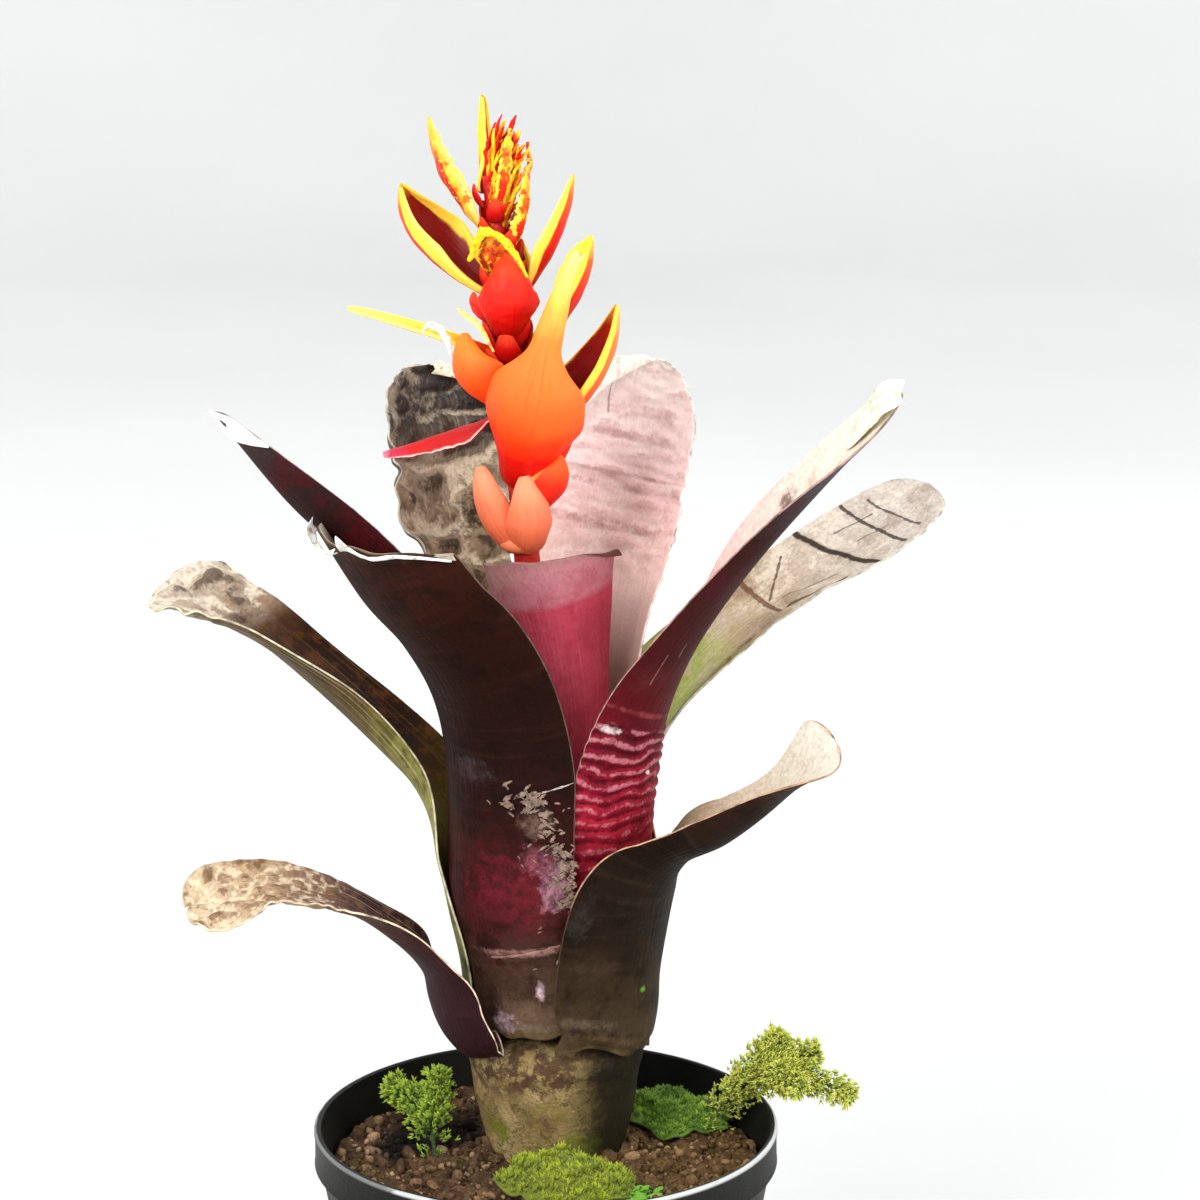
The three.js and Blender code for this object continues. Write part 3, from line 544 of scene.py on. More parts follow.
leafLooks = {
    "leaf_grey_back": {
        "outer": {"stops": {0: "3c2e24", 0.5: "685848", 0.8: "5c5044", 1: "968a7c"}},
        "inner": {
            "stops": {
                0: "34261a", 0.42: "544232", 0.6: "7c6854", 0.7: "88745e", 0.8: "968470", 0.86: "60564c",
                0.92: "3e3a38", 1: "484442",
            },
            "stray": 0.05, "blotch": ("322218", 0.55, 0.01), "veins": ("baac96", 0.25),
            "relief": ("ccbea6", 0.6, "22140c", 0.8),
            "patches": [
                (0.24, 0.7, 0.16, 0.05, "1e1008", 0.9), (0.62, 0.93, 0.34, 0.06, "3a3636", 0.9),
                (0.93, 0.9, 0.05, 0.1, "aaa496", 0.8),
            ],
        },
        "rim": "cec6b6",
    },
    "leaf_magenta_front": {
        "outer": {
            "stops": {
                0: "822834", 0.35: "9e3242", 0.6: "b04052", 0.875: "a83c4c", 0.89: "ac6670", 0.96: "a86e74",
                1: "906c66",
            },
            "stray": 0.005, "grain": 0.5, "blotch": ("8c263a", 0.35, 0.007), "veins": ("ba6270", 0.25),
            "patches": [(0.12, 0.95, 0.3, 0.05, "a08478", 0.6)],
        },
        "inner": {"stops": {0: "3c1414", 0.8: "3c1816", 1: "54302c"}}, "rim": "966c68",
    },
    "leaf_pink_upright": {
        "outer": {"stops": {0: "966e64", 0.5: "c8a69c", 1: "ecdcce"}},
        "inner": {
            "stops": {
                0: "603c36", 0.42: "ba968c", 0.55: "debeb4", 0.7: "eecac6", 0.8: "fadede", 0.9: "feeeec",
                1: "fff8f4",
            },
            "stray": 0.03, "grain": 0.35, "blotch": ("d6aca8", 0.3, 0.014), "veins": ("f6e6e0", 0.12),
            "relief": ("faeee8", 0.35, "ba8888", 0.35),
            "patches": [
                (0.55, 0.66, 0.6, 0.01, "a87472", 0.6), (0.5, 0.735, 0.6, 0.008, "b07a7c", 0.55),
                (0.45, 0.76, 0.5, 0.005, "ac7878", 0.5), (0.5, 0.84, 0.4, 0.012, "ce9ca0", 0.6),
                (0.45, 0.89, 0.4, 0.01, "d6aaac", 0.5), (0.75, 0.5, 0.2, 0.02, "966464", 0.5),
            ],
            "strokes": [(0.74, 0.93, 0.7, 0.88, 0.0003, "8c6868", 0.5)],
        },
        "rim": "f0e6da",
    },
    "leaf_upper_left": {
        "outer": {
            "stops": {
                0: "24120c", 0.5: "220c08", 0.7: "280c0a", 0.88: "281818", 0.95: "3c3030", 1: "786e6e",
            },
            "stray": 0.03, "blotch": ("480a12", 0.45, 0.014),
            "patches": [(0.75, 0.74, 0.25, 0.05, "540e16", 0.6)],
        },
        "inner": {"stops": {0: "3c1e1a", 0.6: "5c3a34", 0.85: "968a84", 0.95: "e2e2e0", 1: "f4f4f4"}},
        "rim": "b0a8a4",
    },
    "leaf_green_right": {
        "outer": {"stops": {0: "464a22", 0.4: "6e743a", 0.6: "aa9c82", 1: "b2a69c"}},
        "inner": {
            "stops": {
                0: "546424", 0.36: "78883c", 0.52: "8e9c54", 0.62: "949854", 0.64: "9e8c6e", 0.7: "a08e74",
                0.8: "aa9c8e", 1: "b4aca6",
            },
            "stray": 0.012, "blotch": ("b2a292", 0.5, 0.01), "veins": ("cec4b4", 0.4),
            "relief": ("d4caba", 0.4, "867462", 0.45),
            "patches": [
                (0.06, 0.6, 0.07, 0.03, "684c32", 0.85), (0.1, 0.64, 0.05, 0.02, "604630", 0.8),
                (0.08, 0.67, 0.04, 0.012, "6e543a", 0.7), (0.85, 0.7, 0.22, 0.018, "806046", 0.6),
            ],
            "strokes": [
                (0.97, 0.878, 0.05, 0.9, 0.00055, "342a24", 0.9),
                (0.86, 0.91, 0.14, 0.93, 0.0004, "463a34", 0.85),
                (0.98, 0.8, 0.0, 0.852, 0.0011, "261c16", 0.95),
                (0.86, 0.7, 0.16, 0.704, 0.0008, "603c28", 0.85),
                (0.47, 0.709, 0.86, 0.765, 0.0004, "503c2e", 0.8),
                (0.16, 0.717, 0.02, 0.8, 0.0009, "5c4432", 0.85),
                (0.35, 0.724, 0.22, 0.8, 0.0005, "705c4c", 0.6),
                (0.75, 0.845, 0.7, 0.9, 0.0004, "605046", 0.7),
                (0.5, 0.86, 0.42, 0.905, 0.0003, "6e6056", 0.6),
            ],
        },
        "rim": "cec6b6",
    },
    "leaf_right_up": {
        "outer": {
            "stops": {
                0: "6e121e", 0.3: "8e182a", 0.42: "781224", 0.48: "540c16", 0.6: "380e0e", 0.78: "2e1410",
                0.86: "423c40", 0.95: "68666a", 1: "cec8b4",
            },
            "stray": 0.025, "blotch": ("420c14", 0.45, 0.012), "relief": ("ce828e", 0.5, "400610", 0.75),
            "patches": [
                (0.13, 0.466, 0.12, 0.006, "e2cecc", 0.8), (0.66, 0.395, 0.025, 0.006, "f6f0ee", 0.95),
                (0.4, 0.5, 0.4, 0.005, "96464a", 0.5), (0.2, 0.56, 0.15, 0.03, "5a2222", 0.4),
            ],
            "strokes": [
                (0.22, 0.55, 0.19, 0.6, 0.0002, "b09292", 0.4),
                (0.31, 0.6, 0.29, 0.62, 0.00018, "b09292", 0.35),
            ],
        },
        "inner": {
            "stops": {
                0: "783c3a", 0.55: "ce9c96", 0.72: "debab4", 0.82: "d8cabe", 0.93: "e2d8c4", 1: "ece4be",
            },
            "stray": 0.04, "blotch": ("b29e94", 0.45, 0.009), "veins": ("eee0d8", 0.35),
            "patches": [(0.78, 0.8, 0.1, 0.018, "5c4a42", 0.85), (0.6, 0.84, 0.2, 0.01, "968074", 0.5)],
        },
        "rim": "a8847a",
    },
    "leaf_back_high": {
        "outer": {
            "stops": {0: "2c160e", 0.6: "382014", 0.85: "786450", 1: "b0a088"},
            "relief": ("c4b49c", 0.4, "281810", 0.5),
        },
        "inner": {
            "stops": {0: "46401e", 0.5: "544228", 0.8: "806e58", 1: "b6a68e"}, "veins": ("8c7e60", 0.3),
            "relief": ("d2c4aa", 0.4, "322218", 0.5),
        },
        "rim": "968670",
    },
    "leaf_torn_front": {
        "outer": {
            "stops": {
                0: "5c4a34", 0.035: "544030", 0.08: "4a362a", 0.115: "3e2820", 0.15: "3e201c",
                0.23: "3a1414", 0.31: "30100e", 0.37: "240c09", 0.5: "1a0805", 0.8: "220b04", 0.95: "2e1209",
                1: "462e20",
            },
            "stray": 0.028, "blotch": ("100504", 0.55, 0.01), "bars": ("542c22", 0.12, 44),
            "patches": [
                (0.8, 0.24, 0.26, 0.085, "5e1620", 0.8), (0.62, 0.2, 0.14, 0.05, "48161a", 0.5),
                (0.6, 0.45, 0.1, 0.03, "4e4646", 0.3), (0.93, 0.26, 0.06, 0.06, "b48898", 0.5),
                (0.88, 0.31, 0.08, 0.03, "965464", 0.45), (0.8, 0.125, 0.22, 0.006, "b0847c", 0.55),
                (0.97, 0.108, 0.02, 0.005, "d8bac4", 0.9), (0.875, 0.08, 0.024, 0.01, "ceb0ba", 0.8),
                (0.84, 0.03, 0.14, 0.01, "82766c", 0.4), (0.8, 0.055, 0.16, 0.02, "685244", 0.5),
                (0.86, 0.37, 0.07, 0.025, "786056", 0.5), (0.7, 0.17, 0.1, 0.015, "1e0c0c", 0.6),
                (0.7, 0.09, 0.2, 0.02, "301e18", 0.5), (0.7, 0.035, 0.06, 0.02, "c8a6b2", 0.85),
            ],
            "strokes": [
                (0.84, 0.415, 0.99, 0.432, 0.00022, "c4b8b0", 0.7),
                (0.66, 0.118, 0.96, 0.13, 0.0003, "aa7e76", 0.6),
            ],
        },
        "inner": {
            "stops": {0: "321812", 0.7: "4e3228", 0.95: "6e5a4c", 1: "beb4a4"}, "veins": ("8c7864", 0.4),
        },
        "rim": "685042", "rimFrom": 0.3,
    },
    "leaf_left_mid": {
        "outer": {
            "stops": {
                0: "6e703c", 0.25: "969460", 0.4: "7a763e", 0.5: "686030", 0.56: "544226", 0.64: "4a3426",
                0.8: "685244", 0.86: "a69484", 1: "cec2b0",
            },
            "stray": 0.045, "veins": ("beba8c", 0.4), "blotch": ("3a3210", 0.65, 0.006),
            "relief": ("e8decc", 0.5, "604e3e", 0.6),
        },
        "inner": {
            "stops": {
                0: "544c1a", 0.36: "5c5018", 0.46: "38280c", 0.54: "200f06", 0.72: "261108", 0.76: "3c261a",
                0.8: "887462", 0.9: "b0a08e", 1: "c2b6a6",
            },
            "stray": 0.035, "blotch": ("683c10", 0.35, 0.006), "veins": ("785a2e", 0.25),
            "relief": ("dacebc", 0.7, "423024", 0.75),
            "patches": [(0.6, 0.8, 0.35, 0.025, "423026", 0.85), (0.42, 0.66, 0.2, 0.06, "603410", 0.35)],
            "strokes": [(0.62, 0.58, 0.6, 0.77, 0.0006, "bea082", 0.8)],
        },
        "rim": "d6ceb0",
    },
    "leaf_back_low": {
        "outer": {
            "stops": {0: "2c160e", 0.6: "402618", 0.85: "827058", 1: "b6a68c"},
            "relief": ("c4b49c", 0.4, "281810", 0.5),
        },
        "inner": {
            "stops": {0: "3c321a", 0.5: "4c3824", 0.8: "847058", 1: "baaa92"}, "veins": ("8c7e60", 0.3),
            "relief": ("d2c4aa", 0.4, "322218", 0.5),
        },
        "rim": "c46e3e",
    },
    "leaf_lower_right": {
        "outer": {
            "stops": {
                0: "54442e", 0.05: "423424", 0.12: "322618", 0.25: "1e130b", 0.5: "190e07", 0.8: "24140b",
                0.92: "3e2e22", 1: "beb29e",
            },
            "stray": 0.035, "blotch": ("0e0704", 0.6, 0.01), "bars": ("463626", 0.2, 40),
            "patches": [
                (0.1, 0.085, 0.2, 0.014, "685a4a", 0.4), (0.16, 0.2, 0.14, 0.03, "403024", 0.5),
                (0.47, 0.141, 0.02, 0.007, "6eaa28", 0.9), (0.06, 0.3, 0.06, 0.05, "3c3836", 0.3),
                (0.3, 0.04, 0.3, 0.02, "604c34", 0.5),
            ],
        },
        "inner": {
            "stops": {0: "603c28", 0.6: "b49a82", 0.82: "cec4b2", 1: "dad4c6"}, "veins": ("e2dacc", 0.3),
            "blotch": ("b8a892", 0.35, 0.008),
        },
        "rim": "ba9276", "rimFrom": 0.34,
    },
    "leaf_lower_left": {
        "outer": {
            "stops": {
                0: "301a1c", 0.4: "2c1218", 0.55: "341c1c", 0.66: "584234", 0.76: "a0866a", 1: "bea88c",
            },
            "stray": 0.05, "blotch": ("221212", 0.5, 0.008),
            "patches": [(0.9, 0.07, 0.14, 0.05, "ceb0be", 0.8), (0.75, 0.03, 0.2, 0.03, "a07c82", 0.6)],
            "relief": ("d4c2a6", 0.4, "583e2c", 0.6),
        },
        "inner": {
            "stops": {
                0: "3c1e1c", 0.5: "34181a", 0.66: "3e2624", 0.74: "785c4c", 0.83: "a68c6e", 1: "bea88c",
            },
            "stray": 0.06, "blotch": ("70503a", 0.7, 0.0045), "veins": ("d6c4a8", 0.25),
            "relief": ("dccaae", 0.55, "624630", 0.75),
        },
        "rim": "dec8aa",
    },
}


def strokeMask(flat, size, stroke):  # 1 near the line between two points of the blade, size in metres
    u0, v0, u1, v1, width = stroke
    start = Vector((u0 * size[0], v0 * size[1], 0))
    way = Vector((u1 * size[0], v1 * size[1], 0)) - start
    point = vectors("SUBTRACT", vectors("MULTIPLY", flat, (size[0], size[1], 0)), tuple(start))
    share = step(vectors("DOT_PRODUCT", point, tuple(way / way.length_squared), 1), 0, 1, "LINEAR")
    nearest = vectors("MULTIPLY", joined(share, share, share), tuple(way))
    wobble = (grain(point, 0.004, 3, 0.6) - 0.5) * 0.0016
    away = abs(vectors("DISTANCE", point, nearest, 1) + wobble)
    return step(away, width * 1.3, width * 0.6)


def leafFinish(name, look, size):
    finish = Finish(name, 0.05)
    flat, across, along = finish.blade()
    mark = finish.attribute("mark")
    broad, middling = finish.grain(0.022, 4, 0.6), finish.grain(0.0042, 5, 0.72)
    fine = finish.grain(0.0014, 3, 0.65)
    finish.ramp(along + (broad - 0.5) * (2 * look.get("stray", 0.03)), look["stops"])
    lines = grain(joined(across * 46, along * 5), 1, 2, 0.5)
    height = lines * 0.5 + fine * 0.35
    if "blotch" in look:
        tint, share, spot = look["blotch"]
        finish.lay(step(finish.grain(spot, 5, 0.65), 0.46, 0.62) * share, tint)
    if "veins" in look:
        tint, share = look["veins"]
        finish.lay(step(lines, 0.5, 0.75) * share, tint)
    if "bars" in look:
        tint, share, count = look["bars"]
        bars = grain(joined(across * 1.6, along * count), 1, 3, 0.5)
        finish.lay(step(bars, 0.5, 0.75) * share, tint)
        height = height + bars * 0.8
    if "relief" in look:
        high, highShare, low, lowShare = look["relief"]
        ragged = mark + (fine - 0.5) * 0.5
        finish.lay(step(ragged, 0.44, 0.16) * lowShare, low)
        finish.lay(step(ragged, 0.66, 0.95) * highShare, high)
    for u, v, wide, long, tint, share in look.get("patches", ()):
        away = vectors("MULTIPLY", vectors("SUBTRACT", flat, (u, v, 0)), (1 / wide, 1 / long, 0))
        away = vectors("LENGTH", away, (0, 0, 0), 1) + (finish.grain(0.003, 4, 0.7) - 0.5) * 2.2
        patchAndHighlight = step(middling, 0.4, 0.58) * (0.7 * share) + 0.3 * share
        finish.lay(step(away, 1.2, 0.4) * patchAndHighlight, tint)
    for *stroke, tint, share in look.get("strokes", ()):
        mask = strokeMask(flat, size, stroke)
        finish.lay(mask * share, tint)
        height = height - mask * 0.8
    rough = look.get("grain", 0.9)
    speck = fine * rough + (1 - rough / 2)
    finish.colour = vectors("MULTIPLY", finish.colour, joined(speck, speck, speck))
    return finish.end(broad * 0.25 + 0.45, height, 0.0006)


def rimFinish(name, tint, start):  # a pale dry edge, darker below start
    finish = Finish(name, 0.2)
    along = finish.blade()[2]
    spots = finish.grain(0.004, 4, 0.6)
    finish.ramp(spots, {0.3: dimmed(tint, 0.55), 0.6: tint})
    finish.lay(step(along + (spots - 0.5) * 0.1, start + 0.04, start - 0.04) * 0.92, "2c1a16")
    return finish.end(spots * 0.2 + 0.5, spots, 0.0003)


def makeLeaf(name, shape, look, blade):
    length = sum((blade.spine(i + 1) - blade.spine(i)).length for i in range(blade.spans))
    size = (2 * max(blade.halves), length)
    finishes = [leafFinish(name + "_" + side, look[side], size) for side in ("outer", "inner")]
    finishes.append(rimFinish(name + "_margin", look["rim"], look.get("rimFrom", 0.0)))
    rows = shape.get("rows", bladeMesh["rows"])
    bm = addSheet(newSheets(), blade.place, blade.spans, rows, bladeMesh["columns"], bladeMesh["crowd"],
                  blade.mark)
    addPiece(name + "_blade", bm, finishes, shape["slot"], [name], bladeMesh["wall"], 1)


for name, shape in leaves.items():
    makeLeaf(name, shape, leafLooks[name], blades[name])
print("leaves made:", len(leaves))

# Torn, folded and dried bits of leaf. A strip lies between two edges, each a row of (across, along, lift,
# rise): shares of the blade, then metres out from its outer face and on along it. It swells between them.

strips = {
    "torn_curl": {"leaf": "leaf_torn_front", "swell": 0.0012,
                  "near": [(0.2, 0.992, 0.0012, -0.001), (0.3, 0.992, 0.0016, -0.0015),
                           (0.42, 0.992, 0.0018, -0.002), (0.52, 0.992, 0.0014, -0.0005)],
                  "far": [(0.19, 1, 0.001, 0.0032), (0.3, 1, 0.003, 0.0016), (0.42, 1, 0.0042, 0.0008),
                          (0.54, 1, 0.002, 0.0012)], "tints": ("f4f2ec", "b0a092")},
    "torn_ribbon": {"leaf": "leaf_torn_front", "swell": 0.0008,
                    "near": [(0.54, 0.994, 0.001, -0.0005), (0.66, 0.994, 0.001, -0.0008),
                             (0.8, 0.994, 0.001, -0.001), (0.98, 0.994, 0.001, -0.0004)],
                    "far": [(0.57, 1, 0.001, 0.0052), (0.66, 1, 0.0026, 0.002), (0.8, 1, 0.0022, 0.0012),
                            (0.98, 1, 0.0012, 0.0006)], "tints": ("f0eee6", "78685a")},
    "pink_flap": {"leaf": "leaf_pink_upright", "swell": -0.0016,
                  "near": [(1.12, 0.84, -0.004, 0), (1.05, 0.92, -0.002, 0.0), (0.9, 0.975, -0.0012, 0.001),
                           (0.55, 1, -0.0008, 0.0006), (0.25, 1, -0.0008, 0)],
                  "far": [(1.14, 0.83, -0.0046, 0), (0.93, 0.865, -0.0052, 0), (0.74, 0.93, -0.004, 0),
                          (0.48, 0.975, -0.0026, 0), (0.22, 0.995, -0.001, 0)],
                  "tints": ("fcf8ee", "e8dac8")},
    "left_tip": {"leaf": "leaf_upper_left", "swell": 0.001,
                 "near": [(1.0, 0.925, 0.0008, 0), (1.0, 0.95, 0.001, 0), (1.0, 0.98, 0.001, 0),
                          (0.7, 1, 0.0008, 0.001)],
                 "far": [(0.98, 0.925, 0.0008, 0), (0.5, 0.95, 0.0016, 0), (0.0, 0.97, 0.0018, 0),
                         (-0.5, 0.995, 0.0012, 0)], "tints": ("fafaf8", "d6d2d0")},
    "right_tip": {"leaf": "leaf_right_up", "swell": -0.0008,
                  "near": [(0.55, 0.9, -0.0008, 0), (1.0, 0.95, -0.0012, 0), (1.25, 0.975, -0.0012, 0.002),
                           (1.3, 1, -0.0008, 0.0035)],
                  "far": [(0.5, 0.9, -0.001, 0), (0.1, 0.94, -0.002, 0), (-0.4, 0.965, -0.0026, 0.001),
                          (-0.3, 0.99, -0.001, 0.001)], "tints": ("f0ecd6", "baac78")},
    "grey_hook": {"leaf": "leaf_grey_back", "swell": -0.0012,
                  "near": [(0.6, 0.99, -0.0012, 0.001), (0.3, 1, -0.0014, 0.0015), (0.05, 0.985, -0.0016, 0),
                           (0.0, 0.92, -0.002, 0)],
                  "far": [(0.6, 0.975, -0.003, 0), (0.34, 0.965, -0.0048, 0), (0.16, 0.945, -0.005, 0),
                          (0.1, 0.9, -0.003, 0)], "tints": ("e4dac4", "8c7c64")},
}


def dryFinish(name, bright, dull):
    finish = Finish(name, 0.2)
    spots, fine = finish.grain(0.0028, 4, 0.65), finish.grain(0.0008, 3, 0.6)
    finish.ramp(spots * 0.8 + fine * 0.2, {0.36: dull, 0.5: bright})
    return finish.end(spots * 0.2 + 0.5, spots + fine, 0.0004)


def makeStrip(name, shape):
    leaf = shape["leaf"]
    blade = blades[leaf]
    spans = len(shape["near"]) - 1

    def edge(stations, t):
        u, along, lift, rise = (through([station[k] for station in stations], t) for k in range(4))
        whole = clamp(along) * blade.spans
        row = blade.frameAt(whole)
        return blade.place(whole, 2 * u - 1, lift) + row["along"] * rise, blade.outward(whole, 2 * u - 1)

    def place(t, v):
        near, outward = edge(shape["near"], t)
        far, _ = edge(shape["far"], t)
        share = (v + 1) / 2
        ripple = 0.0003 * lumps(mix(near, far, share), 0.004, 2, 7)
        return mix(near, far, share) + outward * (shape["swell"] * math.sin(math.pi * share) + ripple)

    bm = addSheet(newSheets(), place, spans, 16 * spans, 8)
    finish = dryFinish(name, *shape["tints"])
    addPiece(leaf + "_" + name, bm, [finish], leaves[leaf]["slot"], [leaf], 0.0004, 1)


for name, shape in strips.items():
    makeStrip(name, shape)

# Small curled flakes of dry skin, scattered about a line of points (across, along) on the torn leaf.
flakes = {
    "leaf": "leaf_torn_front", "tints": ("8a7466", "2e1e18"),
    "groups": [
        {"line": [(0.76, 0.405), (0.84, 0.405), (0.90, 0.375), (0.95, 0.32), (0.975, 0.27), (0.975, 0.22)],
         "spread": (0.020, 0.014), "count": 105, "sizes": (0.0004, 0.0024), "seed": 41},
        {"line": [(0.84, 0.37), (0.92, 0.33), (0.95, 0.28), (0.96, 0.15)],
         "spread": (0.05, 0.035), "count": 50, "sizes": (0.0003, 0.0009), "seed": 42},
    ],
}


def addFlake(bm, blade, u, along, size, draw):
    t, v = clamp(along, 0.02, 0.98) * blade.spans, clamp(2 * u - 1, -0.98, 0.98)
    outward = blade.outward(t, v)
    at = blade.place(t, v, bladeMesh["wall"] / 2)
    way = Matrix.Rotation(draw.uniform(-0.9, 0.9), 3, outward) @ outward.cross(blade.frameAt(t)["along"])
    other = outward.cross(way)
    width, curl, lift = (size * draw.uniform(*share) for share in ((0.15, 0.45), (0.1, 0.6), (0.0, 0.15)))
    skew = draw.uniform(-0.6, 0.6)

    def place(p, q):
        p = 2 * p - 1
        q = q + skew * p
        shrink = 1 - 0.75 * p * p + 0.25 * math.sin(7 * p + 9 * skew)
        rise = lift + curl * q * q * p * p + 0.1 * curl
        return at + way * (size * p) + other * (width * q * shrink) + outward * rise

    addSheet(bm, place, 1, 5, 4)


def makeFlakes(leaf, groups, tints):
    bm = newSheets()
    for group in groups:
        draw = random.Random(group["seed"])
        for _ in range(group["count"]):
            spot = draw.random() * (len(group["line"]) - 1)
            u, along = (draw.gauss(through([point[k] for point in group["line"]], spot), group["spread"][k])
                        for k in (0, 1))
            addFlake(bm, blades[leaf], u, along, draw.uniform(*group["sizes"]), draw)
    addPiece(leaf + "_flakes", bm, [dryFinish("dry_flakes", *tints)], leaves[leaf]["slot"], [leaf], 0.0002)


makeFlakes(**flakes)
print("strips and flakes made")

# Flower spike. The scape leans left as it rises. A bract is given by its height on the scape, the way it
# points, its tip from its base (out, up and aside), bow, half its width, its fold, its waist (neck) and its
# roll, which lifts the side of increasing azimuth.

scape = {
    "points": [(0.003, 0.012, 0.1614), (0.001, 0.008, 0.24), (-0.005, 0.002, 0.312), (-0.009, 0, 0.36),
               (-0.012, 0, 0.4), (-0.016, 0.001, 0.436)],
    "radii": (0.0052, 0.0026), "columns": 28, "rows": 150,
    "clearance": 0.0009,  # from its skin to the middle of a bract's base
}


# A centripetal curve through the scape's points, as the solids use.
def scapePoint(share):
    points = [Vector(p) for p in scape["points"]]
    last = len(points) - 1
    i = min(int(share * last), last - 1)
    f = share * last - i
    p1, p2 = points[i], points[i + 1]
    p0 = points[i - 1] if i else p1 + p1 - p2
    p3 = points[i + 2] if i + 2 <= last else p2 + p2 - p1
    d0, d1, d2 = ((b - a).length ** 0.5 for a, b in ((p0, p1), (p1, p2), (p2, p3)))
    t1 = ((p1 - p0) / d0 - (p2 - p0) / (d0 + d1) + (p2 - p1) / d1) * d1
    t2 = ((p2 - p1) / d1 - (p3 - p1) / (d1 + d2) + (p3 - p2) / d2) * d1
    return p1 + t1 * f + (3 * (p2 - p1) - 2 * t1 - t2) * f * f + (2 * (p1 - p2) + t1 + t2) * f ** 3


def scapeAt(height):  # the scape's centre and radius at a height
    low, high = 0.0, 1.0
    for _ in range(30):
        middle = (low + high) / 2
        if scapePoint(middle).z < height:
            low = middle
        else:
            high = middle
    return scapePoint(low), mix(*scape["radii"], low)


bracts = {
    "bract_salmon_left": (0.3193, 240, 0.007, 0.0268, -0.0095, 0.0058, 0.0082, 74, 1, 0, "salmon"),
    "bract_salmon_right": (0.319, 286, 0.007, 0.0255, -0.0035, 0.0062, 0.0094, 74, 1, 0, "salmon"),
    "bract_egg": (0.339, 260, 0.007, 0.076, 0.02, 0.0175, 0.0215, 74, 0.36, 0, "egg"),
    "bract_back_low": (0.342, 80, 0.017, 0.042, 0, 0.008, 0.014, 75, 1, 0, "boat"),
    "bract_right_low": (0.352, 350, 0.027, 0.045, 0, 0.008, 0.0155, 70, 1, 26, "hollow"),
    "bract_red_left": (0.362, 178, 0.036, -0.012, 0.004, -0.002, 0.0072, 60, 1, -30, "tongue"),
    "bract_knob_left": (0.364, 222, 0.01, 0.024, -0.006, 0.008, 0.0145, 78, 1, 0, "knob"),
    "bract_needle_left": (0.38, 160, 0.043, 0.015, 0.016, -0.002, 0.0032, 60, 1, 25, "needle"),
    "bract_right_mid": (0.378, 10, 0.021, 0.038, -0.002, 0.006, 0.0125, 78, 1, -14, "boat"),
    "bract_dark_left": (0.39, 190, 0.006, 0.01, 0, 0.003, 0.006, 70, 1, 0, "ball"),
    "bract_ball_front": (0.386, 272, 0.005, 0.027, 0, 0.0095, 0.0135, 84, 1, 0, "ball"),
    "bract_back_high": (0.39, 90, 0.012, 0.03, 0, 0.006, 0.012, 75, 1, 0, "boat"),
    "bract_right_narrow": (0.397, 5, 0.017, 0.039, 0, 0.004, 0.0095, 76, 1, -14, "boat"),
    "bract_boat_left": (0.399, 155, 0.024, 0.034, 0.014, 0.01, 0.0175, 82, 1, 12, "boat"),
    "bract_yellow_front": (0.405, 258, 0.006, 0.015, 0, 0.003, 0.008, 60, 1, 0, "crest"),
    "bract_tuft_low": (0.413, 325, 0.006, 0.026, 0, 0.003, 0.0052, 66, 1, 0, "tuft"),
    "bract_top_left": (0.418, 185, 0.017, 0.036, 0, 0.004, 0.0085, 74, 1, 20, "speckled"),
    "bract_tuft_mid": (0.419, 15, 0.006, 0.027, 0, 0.003, 0.005, 66, 1, -20, "tuft"),
    "bract_tuft_front": (0.425, 285, 0.004, 0.026, 0.003, 0.002, 0.0032, 70, 1, 0, "tuft"),
    "bract_top": (0.43, 120, 0.003, 0.0296, 0, 0.003, 0.006, 75, 1, 50, "plume"),
}

